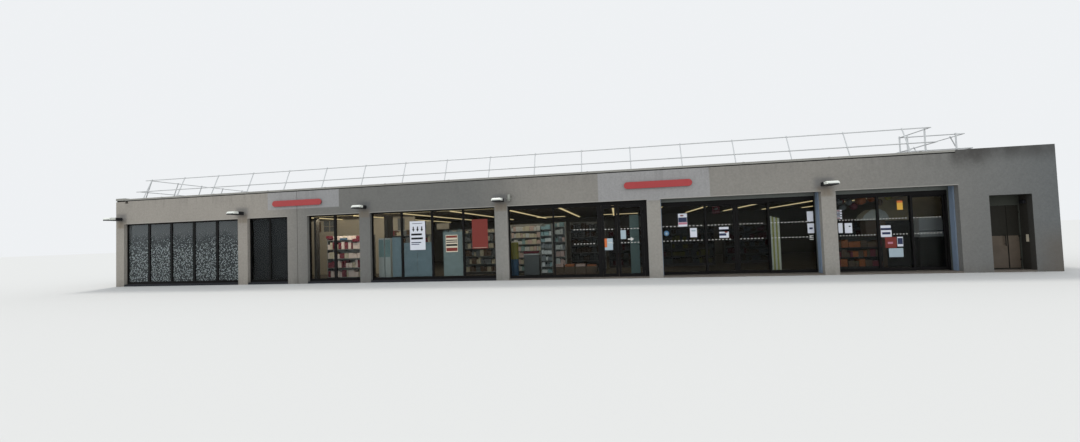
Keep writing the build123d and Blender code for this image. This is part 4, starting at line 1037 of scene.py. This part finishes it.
# Stage: a pale floor, a pale background, soft light and the camera of the photograph
def stage():
    """The floor, and a world that looks pale and gives a soft light, with a weak sun."""
    mesh = bpy.data.meshes.new("stage_floor")
    half = 400.0
    mesh.from_pydata([(-half, -half, 0), (half, -half, 0), (half, half, 0), (-half, half, 0)],
                     [], [(0, 1, 2, 3)])
    ground = bpy.data.objects.new("stage_floor", mesh)
    bpy.context.scene.collection.objects.link(ground)
    paint = Paint("stage_floor", roughness=1.0, specular=0.0)
    paint.colour((0.60, 0.60, 0.59))
    mesh.materials.append(paint.material)

    world = bpy.data.worlds.new("stage_world")
    world.use_nodes = True
    nodes = world.node_tree.nodes
    seen = nodes["Background"]
    seen.inputs["Color"].default_value = (0.86, 0.88, 0.90, 1)
    light = nodes.new("ShaderNodeBackground")
    light.inputs["Color"].default_value = (0.94, 0.97, 1.0, 1)
    light.inputs["Strength"].default_value = 1.12
    path = nodes.new("ShaderNodeLightPath")
    either = nodes.new("ShaderNodeMath")
    either.operation = "MAXIMUM"
    mix = nodes.new("ShaderNodeMixShader")
    for source, target in ((path.outputs["Is Camera Ray"], either.inputs[0]),
                           (path.outputs["Is Transmission Ray"], either.inputs[1]),
                           (either.outputs[0], mix.inputs[0]), (light.outputs[0], mix.inputs[1]),
                           (seen.outputs[0], mix.inputs[2]),
                           (mix.outputs[0], nodes["World Output"].inputs["Surface"])):
        world.node_tree.links.new(source, target)
    bpy.context.scene.world = world

    sun = bpy.data.lights.new("sun", "SUN")
    sun.energy = 1.2
    sun.angle = math.radians(12)
    sun.color = (1.0, 0.97, 0.92)
    lamp = bpy.data.objects.new("sun", sun)
    lamp.rotation_euler = (math.radians(-28), math.radians(-16), 0)
    bpy.context.scene.collection.objects.link(lamp)


def shop_lights():
    """The light of the ceiling strips over the parts of the hall that show lit."""
    for name, spot, size, energy, tilt in (
            ("shop_light", (15.5, 3.05, 2.94), (18.0, 5.0), 210, 0),
            ("window_light", (11.6, 0.50, 2.80), (2.4, 0.2), 40, 35)):
        data = bpy.data.lights.new(name, "AREA")
        data.shape = "RECTANGLE"
        data.size, data.size_y = size
        data.energy = energy
        data.color = (1.0, 0.88, 0.70)
        lamp = bpy.data.objects.new(name, data)
        lamp.location = at(*spot)
        lamp.rotation_euler = (math.radians(tilt), 0, 0)
        lamp.visible_camera = False
        lamp.visible_glossy = False
        bpy.context.scene.collection.objects.link(lamp)


def photo_camera():
    """The camera solved from the photograph: its place, its turn, its tilt and its width."""
    frame_width, focal = 1080, 430.0
    yaw, pitch, roll = (math.radians(angle) for angle in (10.04, 2.02, 1.97))
    turn = (Matrix.Rotation(yaw, 3, "Z") @ Matrix.Rotation(pitch, 3, "X")
            @ Matrix.Rotation(roll, 3, "Y"))
    right, ahead, up = turn.col[0], turn.col[1], turn.col[2]
    data = bpy.data.cameras.new("camera")
    data.sensor_fit = "HORIZONTAL"
    data.sensor_width = 36.0
    data.lens = data.sensor_width * focal / frame_width
    data.clip_end = 2000.0
    view = bpy.data.objects.new("camera_view", data)
    axes = Matrix((right, up, -ahead)).transposed().to_4x4()
    view.matrix_world = Matrix.Translation((left_end + 23.61, facade - 16.74, 1.72)) @ axes
    bpy.context.scene.collection.objects.link(view)
    bpy.context.scene.camera = view


stage()
shop_lights()
photo_camera()
bpy.context.scene.view_settings.view_transform = "Standard"
